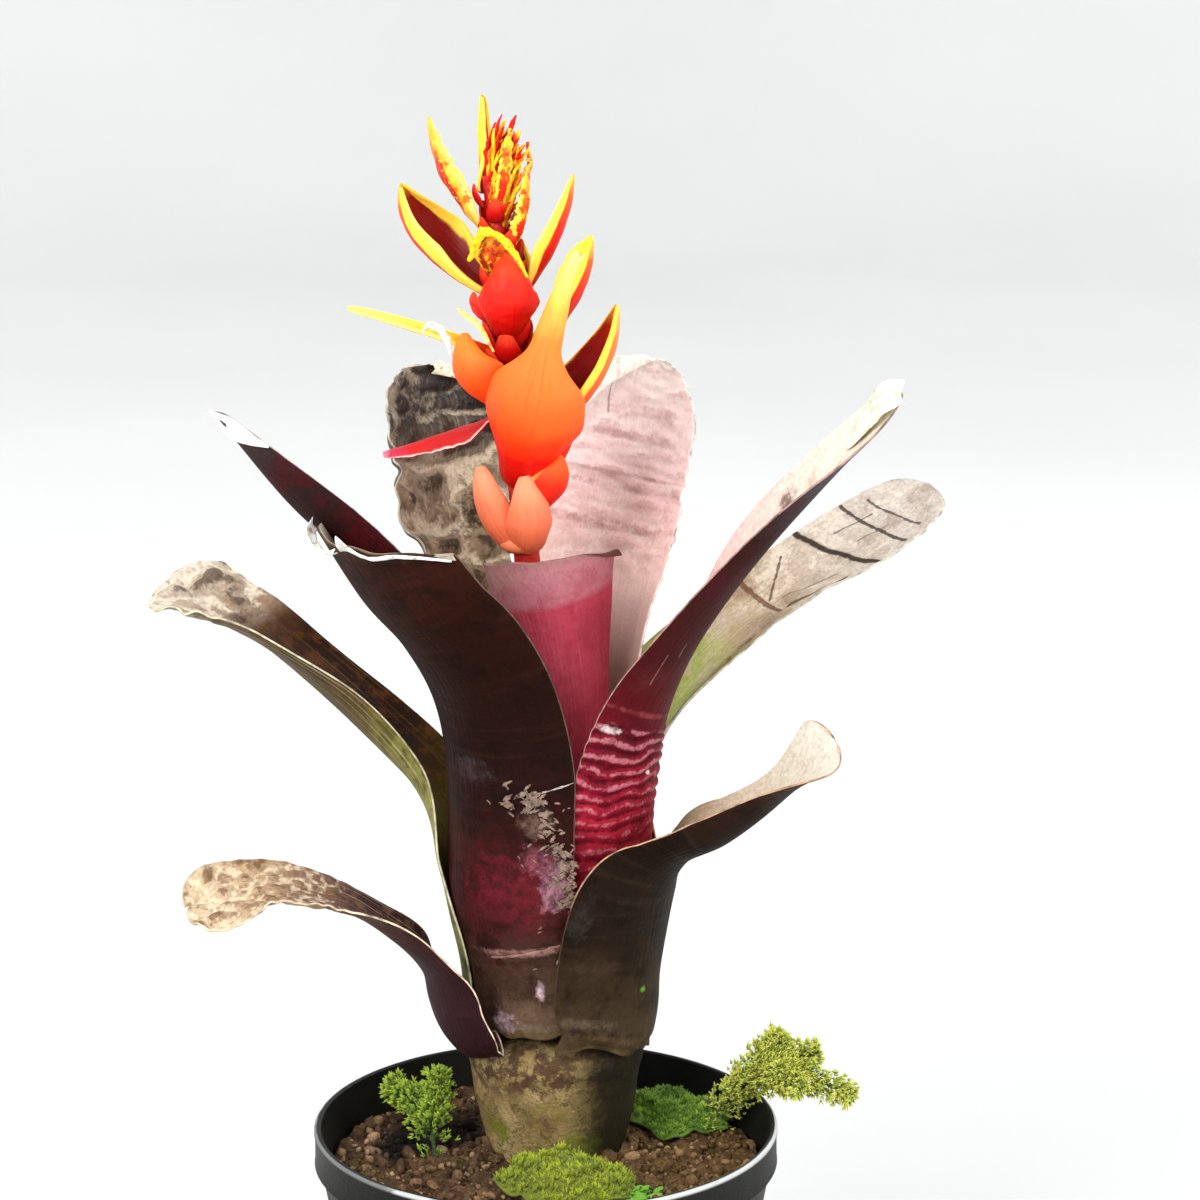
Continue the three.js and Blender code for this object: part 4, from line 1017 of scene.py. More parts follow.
# The colours of each kind of bract, root to tip outside, inside, and its margin from a share of the half
# width. foot is the width of its base, full where it reaches its width, blunt rounds its tip, rough makes
# it lumpy, ragged frays its margins and mottle speckles it.
bractLooks = {
    "salmon": {"outer": {0: "e2603e", 0.35: "e8704c", 0.75: "ee825c", 1: "f4926c"},
               "inner": {0: "be3822", 1: "ee7c58"}, "margin": "faa482", "from": 0.92, "slot": "bract_orange",
               "wall": 0.0019, "foot": 0.95, "blunt": 0.6, "full": 0.3},
    "egg": {"outer": {0: "be0400", 0.14: "de0a00", 0.22: "fa3806", 0.32: "fe5a18", 0.5: "ff742c",
                      0.66: "ff7c2c", 0.8: "feb042", 1: "fcde80"},
            "inner": {0: "780804", 0.6: "c4320a", 1: "fac83c"}, "margin": "fec454", "from": 0.97,
            "slot": "bract_orange", "wall": 0.0014, "foot": 0.8, "full": 0.28},
    "boat": {"outer": {0: "b00604", 0.35: "c80e06", 0.6: "de240c", 0.85: "ee5c1e", 1: "fac854"},
             "inner": {0: "680402", 0.6: "8c0c06", 0.85: "961e0a", 1: "e29628"}, "margin": "fcd442",
             "from": 0.56, "slot": "bract_yellow", "wall": 0.0012},
    "hollow": {"outer": {0: "d82206", 0.4: "f04e16", 0.8: "fa7e38", 1: "fcce6e"},
               "inner": {0: "600402", 0.6: "880c06", 0.85: "a01e0a", 1: "e6a032"}, "margin": "fcce46",
               "from": 0.74, "slot": "bract_yellow", "wall": 0.0012},
    "knob": {"outer": {0: "e82c08", 0.35: "fc4e10", 1: "fe842c"}, "inner": {0: "960e04", 1: "ec4614"},
             "margin": "fe963c", "from": 0.93, "slot": "bract_orange", "wall": 0.0016, "foot": 0.6},
    "tongue": {"outer": {0: "a00804", 0.82: "b8080a", 0.93: "b42c4c", 1: "ce96a8"},
               "inner": {0: "960604", 0.82: "b8080a", 0.93: "b42c4c", 1: "d6a0b0"}, "margin": "eebeb4",
               "from": 0.86, "slot": "bract_red", "wall": 0.0012, "blunt": 0.5, "ragged": 0.12},
    "needle": {"outer": {0: "e21e06", 0.22: "ec420e", 0.3: "fab418", 1: "fce660"},
               "inner": {0: "dc1e08", 0.25: "ec5a10", 0.34: "fcc828", 1: "feec78"}, "margin": "fee86e",
               "from": 0.7, "slot": "bract_yellow", "wall": 0.0012, "foot": 0.8, "blunt": 0.35},
    "ball": {"outer": {0: "a00200", 0.3: "ce0802", 0.7: "ec220c", 1: "f4481c"},
             "inner": {0: "780604", 1: "d22810"}, "margin": "f44018", "from": 0.9, "slot": "bract_red",
             "wall": 0.0014, "foot": 0.7, "blunt": 0.5, "rough": 0.0006, "full": 0.3},
    "crest": {"outer": {0: "600a04", 0.4: "b02406", 0.7: "d8600c", 1: "f6be24"},
              "inner": {0: "6e1406", 1: "eca01e"}, "margin": "facc28", "from": 0.74,
              "mottle": ("f6ba1e", "821606"), "slot": "bract_yellow", "wall": 0.0012, "rough": 0.0009,
              "ragged": 0.3},
    "tuft": {"outer": {0: "ba0a04", 0.35: "dc280a", 0.6: "ee6e14", 1: "face3c"},
             "inner": {0: "8c0804", 0.5: "ce2c0a", 1: "f4b02c"}, "margin": "fcce32", "from": 0.5,
             "slot": "bract_yellow", "wall": 0.001, "ragged": 0.5, "rough": 0.0006,
             "mottle": ("facc28", "ce2806")},
    "speckled": {"outer": {0: "ecd6c4", 0.16: "dcaa82", 0.24: "c4281e", 0.6: "c4321a", 0.8: "eca03c",
                           1: "f6d278"}, "inner": {0: "780a08", 0.5: "ce5a14", 1: "f6be46"},
                 "margin": "f6b02c", "from": 0.3, "slot": "bract_yellow", "wall": 0.001, "ragged": 0.22,
                 "rough": 0.0005, "mottle": ("face46", "d86014")},
    "plume": {"outer": {0: "c40a04", 0.25: "e23c0c", 0.4: "fccc1e", 1: "fede3c"},
              "inner": {0: "ba0804", 0.7: "ce1408", 1: "f0781e"}, "margin": "fedc38", "from": 0.55,
              "slot": "bract_yellow", "wall": 0.001, "foot": 0.8, "blunt": 0.5},
}


def bractFinish(name, stops, margin, start, mottle=()):
    finish = Finish(name, 0.2)
    finish.set("Subsurface Weight", 0.1)
    finish.set("Subsurface Scale", 0.003)
    _, across, along = finish.blade()
    broad, fine = finish.grain(0.007, 4, 0.6), finish.grain(0.0012, 3, 0.6)
    lines = grain(joined(across * 22, along * 2.5), 1, 2, 0.5)
    finish.ramp(along + (broad - 0.5) * 0.14, stops)
    finish.lay(step(lines, 0.52, 0.78) * 0.25, dimmed(stops[0], 0.7))
    edge = abs(across - 0.5) * 2 + (broad - 0.5) * 0.2 + (lines - 0.5) * 0.15
    finish.lay(step(edge, start, start + 0.1), margin)
    finish.lay(step(edge, start + 0.26, start + 0.44) * 0.5, dimmed(margin, 0.6, 110))
    for tint, low, high in zip(mottle, (0.54, 0.44), (0.6, 0.38)):
        finish.lay(step(finish.grain(0.0032, 4, 0.7), low, high) * 0.85, tint)
    return finish.end(broad * 0.25 + 0.35, lines * 0.7 + fine * 0.3, 0.0005)


class Bract:
    def __init__(self, at, azimuth, out, rise, aside, bow, half, fold, neck, roll, look):
        centre, radius = scapeAt(at)
        azimuth = math.radians(azimuth)
        self.look, self.seed = look, at * 1000
        self.outward = Vector((math.cos(azimuth), math.sin(azimuth), 0))
        sideways = Vector((-self.outward.y, self.outward.x, 0))
        self.base = centre + self.outward * (radius + scape["clearance"])
        self.tip = self.base + self.outward * out + sideways * aside + up * rise
        self.swell = (self.base + self.tip) / 2 + self.outward * (2 * bow)
        self.half, self.fold, self.neck, self.roll = half, math.radians(fold), neck, math.radians(roll)
        self.clasp = look.get("foot", 0.4) * half / (radius + 0.0016)  # its base is bent round the scape

    def frameAt(self, t):
        point = self.base * (1 - t) ** 2 + self.swell * (2 * t * (1 - t)) + self.tip * t * t
        along = ((self.swell - self.base) * (1 - t) + (self.tip - self.swell) * t).normalized()
        side = along.cross(self.outward).normalized()
        side.rotate(Matrix.Rotation(self.roll * smooth(t / 0.4), 3, along))
        full = self.look.get("full", 0.4)
        half = self.half * mix(self.look.get("foot", 0.4), 1, smooth(t / full))
        half = half * mix(1, self.neck, smooth((t - 0.4) / 0.25))
        half = half * (1 - (0.985 * t) ** 2.4) ** self.look.get("blunt", 0.8)
        fold = mix(min(self.clasp, 2.4), self.fold, smooth(t / full))
        return point, along, side, half / fold, fold

    def place(self, t, v):
        point, along, side, radius, fold = self.frameAt(t)
        hollow = along.cross(side)
        fray = self.look.get("ragged", 0) * smooth(t * 3)
        fray = fray * (0.5 + lumps(Vector((t * 19, (v > 0) * 5, self.seed)), 1, 4))
        turn = v * fold * (1 - clamp(fray, 0, 0.7))
        point = point + side * (radius * math.sin(turn)) + hollow * (radius * (1 - math.cos(turn)))
        rough = self.look.get("rough", 0) * smooth(t * 4)
        lift = 0.0002 * lumps(point, 0.006, 2) + rough * lumps(point, 0.0045, 3, 5)
        return point + (side * math.sin(turn) - hollow * math.cos(turn)) * lift


def bractFinishes(kind, look):
    margin, mottle = look["margin"], look.get("mottle", ())
    return [bractFinish("bract_" + kind + "_outer", look["outer"], margin, look["from"], mottle),
            bractFinish("bract_" + kind + "_inner", look["inner"], margin, look["from"] + 0.16, mottle)]


bractSkins = {kind: bractFinishes(kind, look) for kind, look in bractLooks.items()}
for name, (*numbers, kind) in bracts.items():
    look = bractLooks[kind]
    bm = addSheet(newSheets(), Bract(*numbers, look).place, 1, 56, 24, 1.2)
    addPiece(name + "_petal", bm, bractSkins[kind], look["slot"], [name], look["wall"], 1)
print("bracts made:", len(bracts))

# The stem of the spike, with small red scales clasping it in turns.
scales = {
    "from": 0.346, "to": 0.428, "count": 40, "turn": 137.5, "out": 0.0042, "rise": 0.0125, "bow": 0.0014,
    "half": 0.0058, "fold": 70, "stops": {0: "960402", 0.5: "cc0c06", 1: "f04614"}, "margin": "f67828",
    "look": {"foot": 0.8, "blunt": 0.6, "rough": 0.0003},
}


def scapePlace(turn, rise):
    share = clamp(rise)
    along = (scapePoint(min(share + 0.01, 1)) - scapePoint(max(share - 0.01, 0))).normalized()
    across = Vector((0, 1, 0)).cross(along).normalized()
    radius = mix(*scape["radii"], share) * 0.99
    angle = turn * math.tau
    return scapePoint(share) + (across * math.cos(angle) + along.cross(across) * math.sin(angle)) * radius


def scapeFinish():
    finish = Finish("scape_skin")
    broad = finish.grain(0.012, 4, 0.6)
    finish.ramp(broad, {0.3: "840c06", 0.55: "c4140a", 0.8: "e03c14"})
    return finish.end(broad * 0.3 + 0.35, finish.grain(0.0015, 3, 0.6), 0.0005)


def makeScape():
    bm = wrappedMesh(scapePlace, scape["columns"], scape["rows"])
    addPiece("scape_stem", bm, [scapeFinish()], "scape", ["scape"])
    finish = bractFinish("scape_scale", scales["stops"], scales["margin"], 0.95)
    bm = newSheets()
    for i in range(scales["count"]):
        share = i / (scales["count"] - 1)
        out, rise, half = (scales[key] * mix(1.15, 0.6, share) for key in ("out", "rise", "half"))
        at = mix(scales["from"], scales["to"], share)
        scale = Bract(at, i * scales["turn"] % 360, out, rise, 0, scales["bow"], half, scales["fold"], 1, 0,
                      scales["look"])
        addSheet(bm, scale.place, 1, 10, 8)
    addPiece("scape_scales", bm, [finish], "scape", ["scape"], 0.0005, 1)


makeScape()

# Loose threads, torn edges and dry curls on the spike. A ribbon runs through its points with half its width
# at each.
ribbons = {
    "bract_needle_left": ([(-0.037, -0.007, 0.389), (-0.0345, -0.009, 0.3912), (-0.0312, -0.01, 0.3898),
                           (-0.029, -0.009, 0.3862), (-0.0282, -0.008, 0.3815)],
                          (0.0003, 0.0009, 0.0011, 0.0009, 0.0003), ("f0e2d8", "be8c82")),
    "bract_boat_left": ([(-0.0262, -0.007, 0.396), (-0.0235, -0.01, 0.3945), (-0.019, -0.013, 0.391),
                         (-0.0148, -0.0155, 0.384)], (0.0002, 0.0007, 0.0008, 0.0002), ("fad878", "e27832")),
    "bract_yellow_front": ([(-0.0225, -0.01, 0.411), (-0.02, -0.012, 0.4165), (-0.018, -0.013, 0.4203),
                            (-0.0134, -0.014, 0.4191), (-0.0086, -0.014, 0.4142), (-0.0045, -0.014, 0.4065)],
                           (0.0006, 0.0012, 0.0014, 0.001, 0.001, 0.0003), ("fcc81e", "de7810")),
    "bract_egg": ([(0.004, -0.0125, 0.404), (0.0085, -0.0125, 0.412), (0.013, -0.0115, 0.4165),
                   (0.0152, -0.011, 0.4188)], (0.0004, 0.0016, 0.0016, 0.0003), ("fcd63c", "f0aa1e")),
}
threads = {
    "count": 230, "from": 0.416, "to": 0.432, "seed": 51,
    "tints": {"yellow": ("fcd028", "ec9618"), "orange": ("f88418", "e2460a"), "red": ("d81e08", "960804")},
    "near": ("red", "red", "orange"), "far": ("yellow", "orange", "red", "orange", "yellow"),
}


def makeRibbon(bm, points, widths, rows=12, columns=6):
    values = [[point[k] for point in points] for k in range(3)]
    spans = len(points) - 1

    def at(t):
        return Vector([through(value, clamp(t, 0, spans)) for value in values])

    def place(t, v):
        point = at(t)
        side = (at(t + 0.05) - at(t - 0.05)).cross(Vector((0.2, -1, 0.3))).normalized()
        frayed = 1 + 0.7 * lumps(point + side * v * 0.01, 0.002, 2)
        return point + side * (v * through(widths, t) * frayed) + Vector((0, 0.0006 * v * v, 0))

    addSheet(bm, place, spans, rows * spans, columns)


def makeThreads():  # the shaggy middle of the top of the spike
    draw = random.Random(threads["seed"])
    groups = {kind: newSheets() for kind in threads["tints"]}
    for i in range(threads["count"]):
        centre, _ = scapeAt(mix(threads["from"], threads["to"], draw.random()))
        azimuth = draw.uniform(0, math.tau)
        way = Vector((math.cos(azimuth), 0.8 * math.sin(azimuth) - 0.2, 0))
        reach, rise = draw.uniform(0.0010, 0.0048), draw.uniform(0.008, 0.0245)
        drift = Vector((0.25 * rise, -0.002, 0))
        points = [centre + way * (reach * share) + drift * share * share + up * (rise * share)
                  + Vector((draw.gauss(0, 0.0005), draw.gauss(0, 0.0005), 0))
                  for share in (0, 0.3, 0.6, 0.85, 1)]
        kind = draw.choice(threads["far"] if reach > 0.0022 else threads["near"])
        half = draw.uniform(0.0003, 0.0011)
        widths = (half, half, half * 1.1, half * 0.8, 0.0001)
        makeRibbon(groups[kind], [tuple(point) for point in points], widths, 3, 3)
    for kind, bm in groups.items():
        finish = dryFinish("thread_" + kind, *threads["tints"][kind])
        addPiece("bract_tuft_" + kind, bm, [finish], "bract_yellow", ["bract_tuft_mid"], 0.00025)


for name, (points, widths, tints) in ribbons.items():
    bm = newSheets()
    makeRibbon(bm, points, widths)
    addPiece(name + "_ribbon", bm, [dryFinish(name + "_ribbon", *tints)], "bract_yellow", [name], 0.0004, 1)
makeThreads()

# The two salmon lobes meet in one cup, and the feet of red bracts show below the egg.
cup = {"at": 0.330, "radius": 0.0064, "low": 0.3182, "rise": 0.0070}
feet = {
    "bracts": [(0.331, 305, 0.010, 0.020, 0.004, 0.006, 0.010, 80, 1, 0),
               (0.338, 330, 0.011, 0.034, 0, 0.006, 0.008, 80, 1, -20),
               (0.352, 262, 0.010, 0.022, 0.002, 0.006, 0.011, 80, 1, 0),
               (0.366, 300, 0.010, 0.020, 0.003, 0.006, 0.011, 80, 1, 0)],
    "stops": {0: "c40a02", 0.5: "e62406", 1: "f8601a"}, "margin": "fa9646",
    "look": {"foot": 0.8, "blunt": 0.6},
}


def cupPlace(turn, rise):
    angle = turn * math.tau
    radius = cup["radius"] * math.sin(min(rise, 1) * math.pi * 0.6)
    centre, _ = scapeAt(cup["at"])
    flat = Vector((math.cos(angle) * radius * 1.06, math.sin(angle) * radius * 0.92, 0))
    height = cup["low"] + cup["rise"] * (1 - math.cos(min(rise, 1) * math.pi * 0.5))
    return Vector((centre.x - 0.0013, centre.y - 0.0026, height)) + flat


def makeFeet():
    bm = newSheets()
    for numbers in feet["bracts"]:
        addSheet(bm, Bract(*numbers, feet["look"]).place, 1, 24, 14)
    finish = bractFinish("bract_foot", feet["stops"], feet["margin"], 0.8)
    addPiece("bract_egg_foot", bm, [finish], "bract_red", ["bract_egg"], 0.0010, 1)


bm = wrappedMesh(cupPlace, 48, 20)
addPiece("bract_salmon_cup", bm, bractSkins["salmon"][:1], "bract_orange", ["bract_salmon_left"])
makeFeet()
print("spike made")

# Pot, soil and stump. Each kind of crumb is given by its count, its facets and its smallest and largest
# radius.

pot = {
    "rim": 0.075, "height": 0.130, "base": 0.053, "wall": 0.0018, "floor": 0.0024, "lip": 0.013,
    "lipStep": 0.0022, "turns": 144,
}
holes = {"count": 6, "radius": 0.005, "ring": 0.036}
soil = {
    "level": 0.117, "clod": 0.0015, "cells": 170, "low": 0.0028, "gap": 0.001, "well": 0.0222,
    "wellFloor": 0.086, "reach": 0.0675, "bare": 0.0235, "seed": 7,
    # The next row gives (x, y, reach) of each pool of near-black painted shade on the soil.
    "hollows": ((-0.036, 0.024, 0.026), (-0.050, 0.006, 0.016), (0.036, 0.012, 0.010), (0.012, 0.055, 0.03)),
    "crumbs": {"fine": (1500, 1, 0.0005, 0.0015), "chips": (420, 2, 0.0010, 0.0028)},
}


def potFinish():
    finish = Finish("pot_plastic", 0.12)
    x, y, z = finish.axes()
    broad, fine = finish.grain(0.03, 4, 0.6), finish.grain(0.0012, 3, 0.6)
    scuffs = grain(joined(x * 160, y * 160, z * 900), 1, 4, 0.6)
    finish.ramp(broad, {0.3: "0e0e0c", 0.7: "1a1a17"})
    finish.lay(step(scuffs, 0.6, 0.75) * 0.12, "545048")
    radius = x.maths("POWER", x * x + y * y, 0.5)
    # Painted highlight: a pale line along the rim's top outer edge, broken into patches.
    rimTop = pot["height"] - 0.0016
    patchAndHighlight = step(z, rimTop, rimTop + 0.001) * step(radius + (broad - 0.5) * 0.001, 0.0739, 0.0744)
    finish.lay(patchAndHighlight * (step(broad, 0.4, 0.5) * 0.6 + 0.3), "bec0be")
    dust = step(radius + (broad - 0.5) * 0.01, 0.0685, 0.0655) * step(z, 0.116, 0.124)
    finish.lay(dust * 0.5, "3a3024")
    return finish.end(broad * 0.3 + 0.35, fine * 0.6 + scuffs * 0.4, 0.0002)


# The half section from the middle of the base out, up the outside, over the rim and down the inside.
def potSection():
    rim, height, base, wall, floor, lip, lipStep, _ = pot.values()
    lipBottom = height - lip
    wallTop = rim - lipStep
    outer = [(base - 0.0015, 0), (base, 0.0015)]
    for rise in (0.34, 0.345, 0.68, 0.685):  # two faint steps where the mould's rings met
        inset = 0.0004 * (rise in (0.345, 0.685))
        outer.append((mix(base, wallTop, rise) - inset, mix(0.0015, lipBottom, rise)))
    lipCurve = [
        (wallTop, lipBottom - 0.0006), (wallTop + 0.0006, lipBottom), (rim - 0.0004, lipBottom + 0.0004),
        (rim, lipBottom + 0.0010), (rim - 0.0002, lipBottom + 0.0018), (rim - 0.0003, height - 0.0024),
        (rim, height - 0.0018), (rim, height - 0.0009), (rim - 0.0003, height - 0.0003),
        (rim - 0.0009, height), (rim - lipStep + 0.0005, height), (rim - lipStep, height - 0.0004),
    ]
    inner = [(wallTop - wall + 0.0002, lipBottom + 0.001), (wallTop - wall, lipBottom), (base - wall, floor)]
    return [(0, 0.0006), (base - 0.010, 0.0006), (base - 0.0095, 0)] + outer + lipCurve + inner + [(0, floor)]


def drillHoles(piece):  # the drain holes in the base
    bm = bmesh.new()
    count, radius, ring = holes.values()
    for i in range(count):
        angle = math.tau * (i + 0.5) / count
        at = Matrix.Translation((ring * math.cos(angle), ring * math.sin(angle), 0.001))
        bmesh.ops.create_cone(bm, cap_ends=True, segments=28, radius1=radius, radius2=radius, depth=0.008,
                              matrix=at)
    drill = addObject("drill", meshFrom("drill", bm, False))
    cut = piece.modifiers.new("holes", "BOOLEAN")
    cut.object = drill
    cut.solver = "EXACT"
    drilled = bpy.data.meshes.new_from_object(piece.evaluated_get(bpy.context.evaluated_depsgraph_get()))
    piece.modifiers.remove(cut)
    piece.data = drilled
    bpy.data.objects.remove(drill)
    piece.data.set_sharp_from_angle(angle=math.radians(35))


def potInside(z):
    rise = (z - pot["floor"]) / (pot["height"] - pot["lip"] - pot["floor"])
    return mix(pot["base"] - pot["wall"], pot["rim"] - pot["lipStep"] - pot["wall"], rise)


# The soil's surface: clods, a rise round the stump and two hollows beside it.
def soilHeight(x, y):
    x, y = x * 1000, y * 1000
    rise = 5 * math.exp(-((x - 3) ** 2 + (y - 12) ** 2) / 900)
    left = -5 * math.exp(-((x + 36) ** 2 + (y - 22) ** 2) / 260)
    right = -3 * math.exp(-((x - 34) ** 2 + (y - 16) ** 2) / 120)
    clods = math.sin(x * 0.31 + 1.3 * math.sin(y * 0.23)) * math.sin(y * 0.37 + 1.1 * math.sin(x * 0.19))
    return soil["level"] + 0.001 * (rise + left + right) + soil["clod"] * clods


def soilTop(x, y):  # with its crumbs and fibres
    point = Vector((x, y, 0))
    return soilHeight(x, y) + 0.0011 * lumps(point, 0.006, 3, 1) + 0.0006 * lumps(point, 0.0018, 2, 2)


def fromPlant(x, y):
    return math.hypot(x - plant["x"], y - plant["y"])


def disc(x, y, radius):  # a square grid's point, pulled into a round one
    return x * math.sqrt(1 - y * y / 2) * radius, y * math.sqrt(1 - x * x / 2) * radius


def soilFinish(name):
    finish = Finish(name, 0.12)
    broad, fine = finish.grain(0.014, 4, 0.6), finish.grain(0.0011, 4, 0.65)
    depth = fine * 0.7 + finish.attribute("shade") * 0.75 + (broad - 0.5) * 0.4 - 0.2
    finish.ramp(depth, {0.1: "20160e", 0.4: "4a3626", 0.62: "6c543a", 0.85: "967658", 1: "c4a280"})
    coir = step(finish.axes()[0] + (broad - 0.5) * 0.02, 0.012, 0.026) * step(fine, 0.35, 0.65)
    finish.lay(coir * 0.5, "705628")
    green = step(finish.grain(0.019, 4, 0.6), 0.56, 0.68) * step(fine, 0.4, 0.6)
    finish.lay(green * 0.35, "4a541a")
    # Painted shade: near-black pools on the soil, in the hollows beside the stump and behind it.
    for x, y, reach in soil["hollows"]:
        near = vectors("DISTANCE", finish.place, (x, y, 0.115), 1) + (broad - 0.5) * 0.02
        finish.lay(step(near, reach, reach * 0.4) * 0.92, "0e0a08")
    return finish.end(fine * 0.1 + 0.85, fine + broad * 0.5, 0.0009)


def makeSoil(finish):
    radius = potInside(soil["level"] - 0.003) - soil["gap"]
    bm = bmesh.new()
    tint = bm.verts.layers.float.new("shade")
    bmesh.ops.create_grid(bm, x_segments=soil["cells"], y_segments=soil["cells"], size=1)
    for vert in bm.verts:
        edge = max(abs(vert.co.x), abs(vert.co.y)) > 0.999
        x, y = disc(vert.co.x, vert.co.y, radius)
        z = min(soilTop(x, y), soil["level"] - 0.001) if edge else soilTop(x, y)
        if fromPlant(x, y) < soil["well"]:  # the stump stands in a well
            z = soil["wellFloor"]
        vert.co = (x, y, z)
        vert[tint] = 0.35 + 0.25 * lumps(Vector((x, y, 0)), 0.003, 2, 4)
    made = bmesh.ops.extrude_edge_only(bm, edges=[e for e in bm.edges if e.is_boundary])["geom"]
    scale = (potInside(soil["low"]) - soil["gap"]) / radius
    for vert in (g for g in made if isinstance(g, bmesh.types.BMVert)):
        vert.co = (vert.co.x * scale, vert.co.y * scale, soil["low"])
    bmesh.ops.holes_fill(bm, edges=[e for e in bm.edges if e.is_boundary], sides=0)
    bmesh.ops.recalc_face_normals(bm, faces=bm.faces)
    addPiece("soil_bed", bm, [finish], "soil", ["soil"])


# A lump from a small ball, squashed and knobbly. Its shade is the same all over.
def addLump(bm, layer, at, size, facets, draw, flat):
    made = bmesh.ops.create_icosphere(bm, subdivisions=facets, radius=1.0)["verts"]
    turn = Matrix.Rotation(draw.uniform(0, math.tau), 3, Vector((draw.random(), draw.random(), 1)))
    shade = draw.random()
    stretch = Vector((size * draw.uniform(0.7, 1.3), size * draw.uniform(0.6, 1.0), size * flat))
    for vert in made:
        knob = 1 + 0.35 * noise.noise(vert.co * 1.3 + at * 900)
        point = Vector((vert.co.x * stretch.x, vert.co.y * stretch.y, vert.co.z * stretch.z)) * knob
        vert.co = at + turn @ point
        vert[layer] = shade


def makeCrumbs(finish):
    draw = random.Random(soil["seed"])
    for name, (count, facets, smallest, largest) in soil["crumbs"].items():
        bm = bmesh.new()
        layer = bm.verts.layers.float.new("shade")
        placed = 0
        while placed < count:
            x, y = draw.uniform(-0.069, 0.069), draw.uniform(-0.069, 0.069)
            if math.hypot(x, y) > soil["reach"] or fromPlant(x, y) < soil["bare"]:
                continue
            size = mix(smallest, largest, draw.random() ** 2)
            at = Vector((x, y, soilTop(x, y) + size * 0.35))
            addLump(bm, layer, at, size, facets, draw, draw.uniform(0.4, 0.9))
            placed += 1
        addPiece("soil_" + name, bm, [finish], "soil", ["soil"])


# The stump's (radius, height), from below.
stumpProfile = [
    (0, 0.088), (0.010, 0.090), (0.017, 0.098), (0.0215, 0.112), (0.025, 0.126), (0.0275, 0.138),
    (0.0287, 0.147), (0.0287, 0.152), (0.0274, 0.1556), (0.024, 0.158), (0.017, 0.160), (0, 0.161),
]


def stumpFinish():
    finish = Finish("stump_bark", 0.12)
    x, _, z = finish.axes()
    broad, fine = finish.grain(0.016, 5, 0.65), finish.grain(0.0013, 4, 0.65)
    finish.ramp(broad * 0.7 + fine * 0.3, {0.25: "4e3e22", 0.45: "7e6a42", 0.6: "a48c62", 0.8: "baa276"})
    spread = finish.place + (broad - 0.5) * 0.02
    cracks = x.node("ShaderNodeTexVoronoi", {"feature": "DISTANCE_TO_EDGE"}, {"Vector": spread, "Scale": 50})
    finish.lay(step(cracks + (fine - 0.5) * 0.1, 0.03, 0.0) * 0.5, "3a301e")
    top = step(z + (broad - 0.5) * 0.02, 0.137, 0.147) * step(finish.grain(0.006, 4, 0.7), 0.4, 0.56)
    finish.lay(top * 0.85, "3a241c")
    green = step(finish.grain(0.011, 4, 0.6) + (0.131 - z) * 10, 0.5, 0.68)
    finish.lay(green * 0.75, "626a16")
    finish.lay(step(x + (broad - 0.5) * 0.03, 0.004, 0.018) * 0.95, "141206")  # painted shade: its right side is darkened
    # Painted shade: the stump darkens from just above the soil's level down into its well.
    finish.lay(step(z, 0.122, 0.114) * 0.6, "281e12")
    return finish.end(fine * 0.15 + 0.75, broad + fine * 0.6, 0.0014)


def stumpPlace(turn, rise):
    spans = len(stumpProfile) - 1
    radius = through([r for r, _ in stumpProfile], rise * spans)
    height = through([z for _, z in stumpProfile], rise * spans)
    angle = turn * math.tau
    way = Vector((math.cos(angle), math.sin(angle), 0))
    rough = clamp((0.152 - height) / 0.006) * clamp(radius / 0.01)
    spot = way * radius + up * height
    radius += rough * (0.0006 * lumps(spot, 0.012, 3, 8) - 0.0009)
    return Vector((plant["x"], plant["y"], height)) + way * max(radius, 0)


drillHoles(addPiece("pot_shell", spunMesh(potSection(), pot["turns"]), [potFinish()], "pot", ["pot"]))
soilMix = soilFinish("soil_mix")
makeSoil(soilMix)
makeCrumbs(soilMix)
addPiece("stump_body", wrappedMesh(stumpPlace, 110, 90), [stumpFinish()], "stump", ["stump"])
print("pot, soil and stump made")

# Moss and club moss. Tints go from the shade to the tips.

cushions = {
    "moss_front": {"at": (0.008, -0.028), "length": 0.025, "width": 0.018, "turn": -0.5, "height": 0.005,
                   "seed": 21, "tufts": 620, "finish": ("moss_bright", "3e4802", "7e8a08", "bece16")},
    "moss_back_right": {"at": (0.041, 0.031), "length": 0.021, "width": 0.014, "turn": -0.4, "height": 0.006,
                        "seed": 22, "tufts": 620, "finish": ("moss_shaded", "344c06", "608810", "9cc028")},
}


def mossFinish(name, deep, mid, bright):
    finish = Finish(name, 0.5, 0.1)
    broad, fine = finish.grain(0.009, 4, 0.6), finish.grain(0.0009, 3, 0.6)
    depth = finish.attribute("shade") * 0.75 + broad * 0.35 + fine * 0.2 - 0.15
    finish.ramp(depth, {0.15: deep, 0.5: mid, 0.85: bright})
    return finish.end(fine * 0.2 + 0.65, fine, 0.0004)


class Cushion:
    def __init__(self, shape):
        self.shape = shape
        numbers = seeded(shape["seed"])
        self.lobes = [0.82 + 0.3 * next(numbers) for _ in range(22)]

    def reach(self, angle):
        count = len(self.lobes)
        f = angle / math.tau * count % count
        return mix(self.lobes[int(f) % count], self.lobes[(int(f) + 1) % count], f % 1)

    def at(self, angle, share):  # a point on the ground under the cushion, and the cushion's top there
        shape = self.shape
        reach = share * self.reach(angle)
        u, v = shape["length"] * reach * math.cos(angle), shape["width"] * reach * math.sin(angle)
        c, s = math.cos(shape["turn"]), math.sin(shape["turn"])
        x, y = shape["at"][0] + u * c - v * s, shape["at"][1] + u * s + v * c
        ground = soilHeight(x, y) + 0.0026
        swell = shape["height"] * (1 - share ** 2) * (1 + 0.35 * lumps(Vector((x, y, 0)), 0.008, 2, 6))
        return x, y, ground, ground + 0.0008 + swell


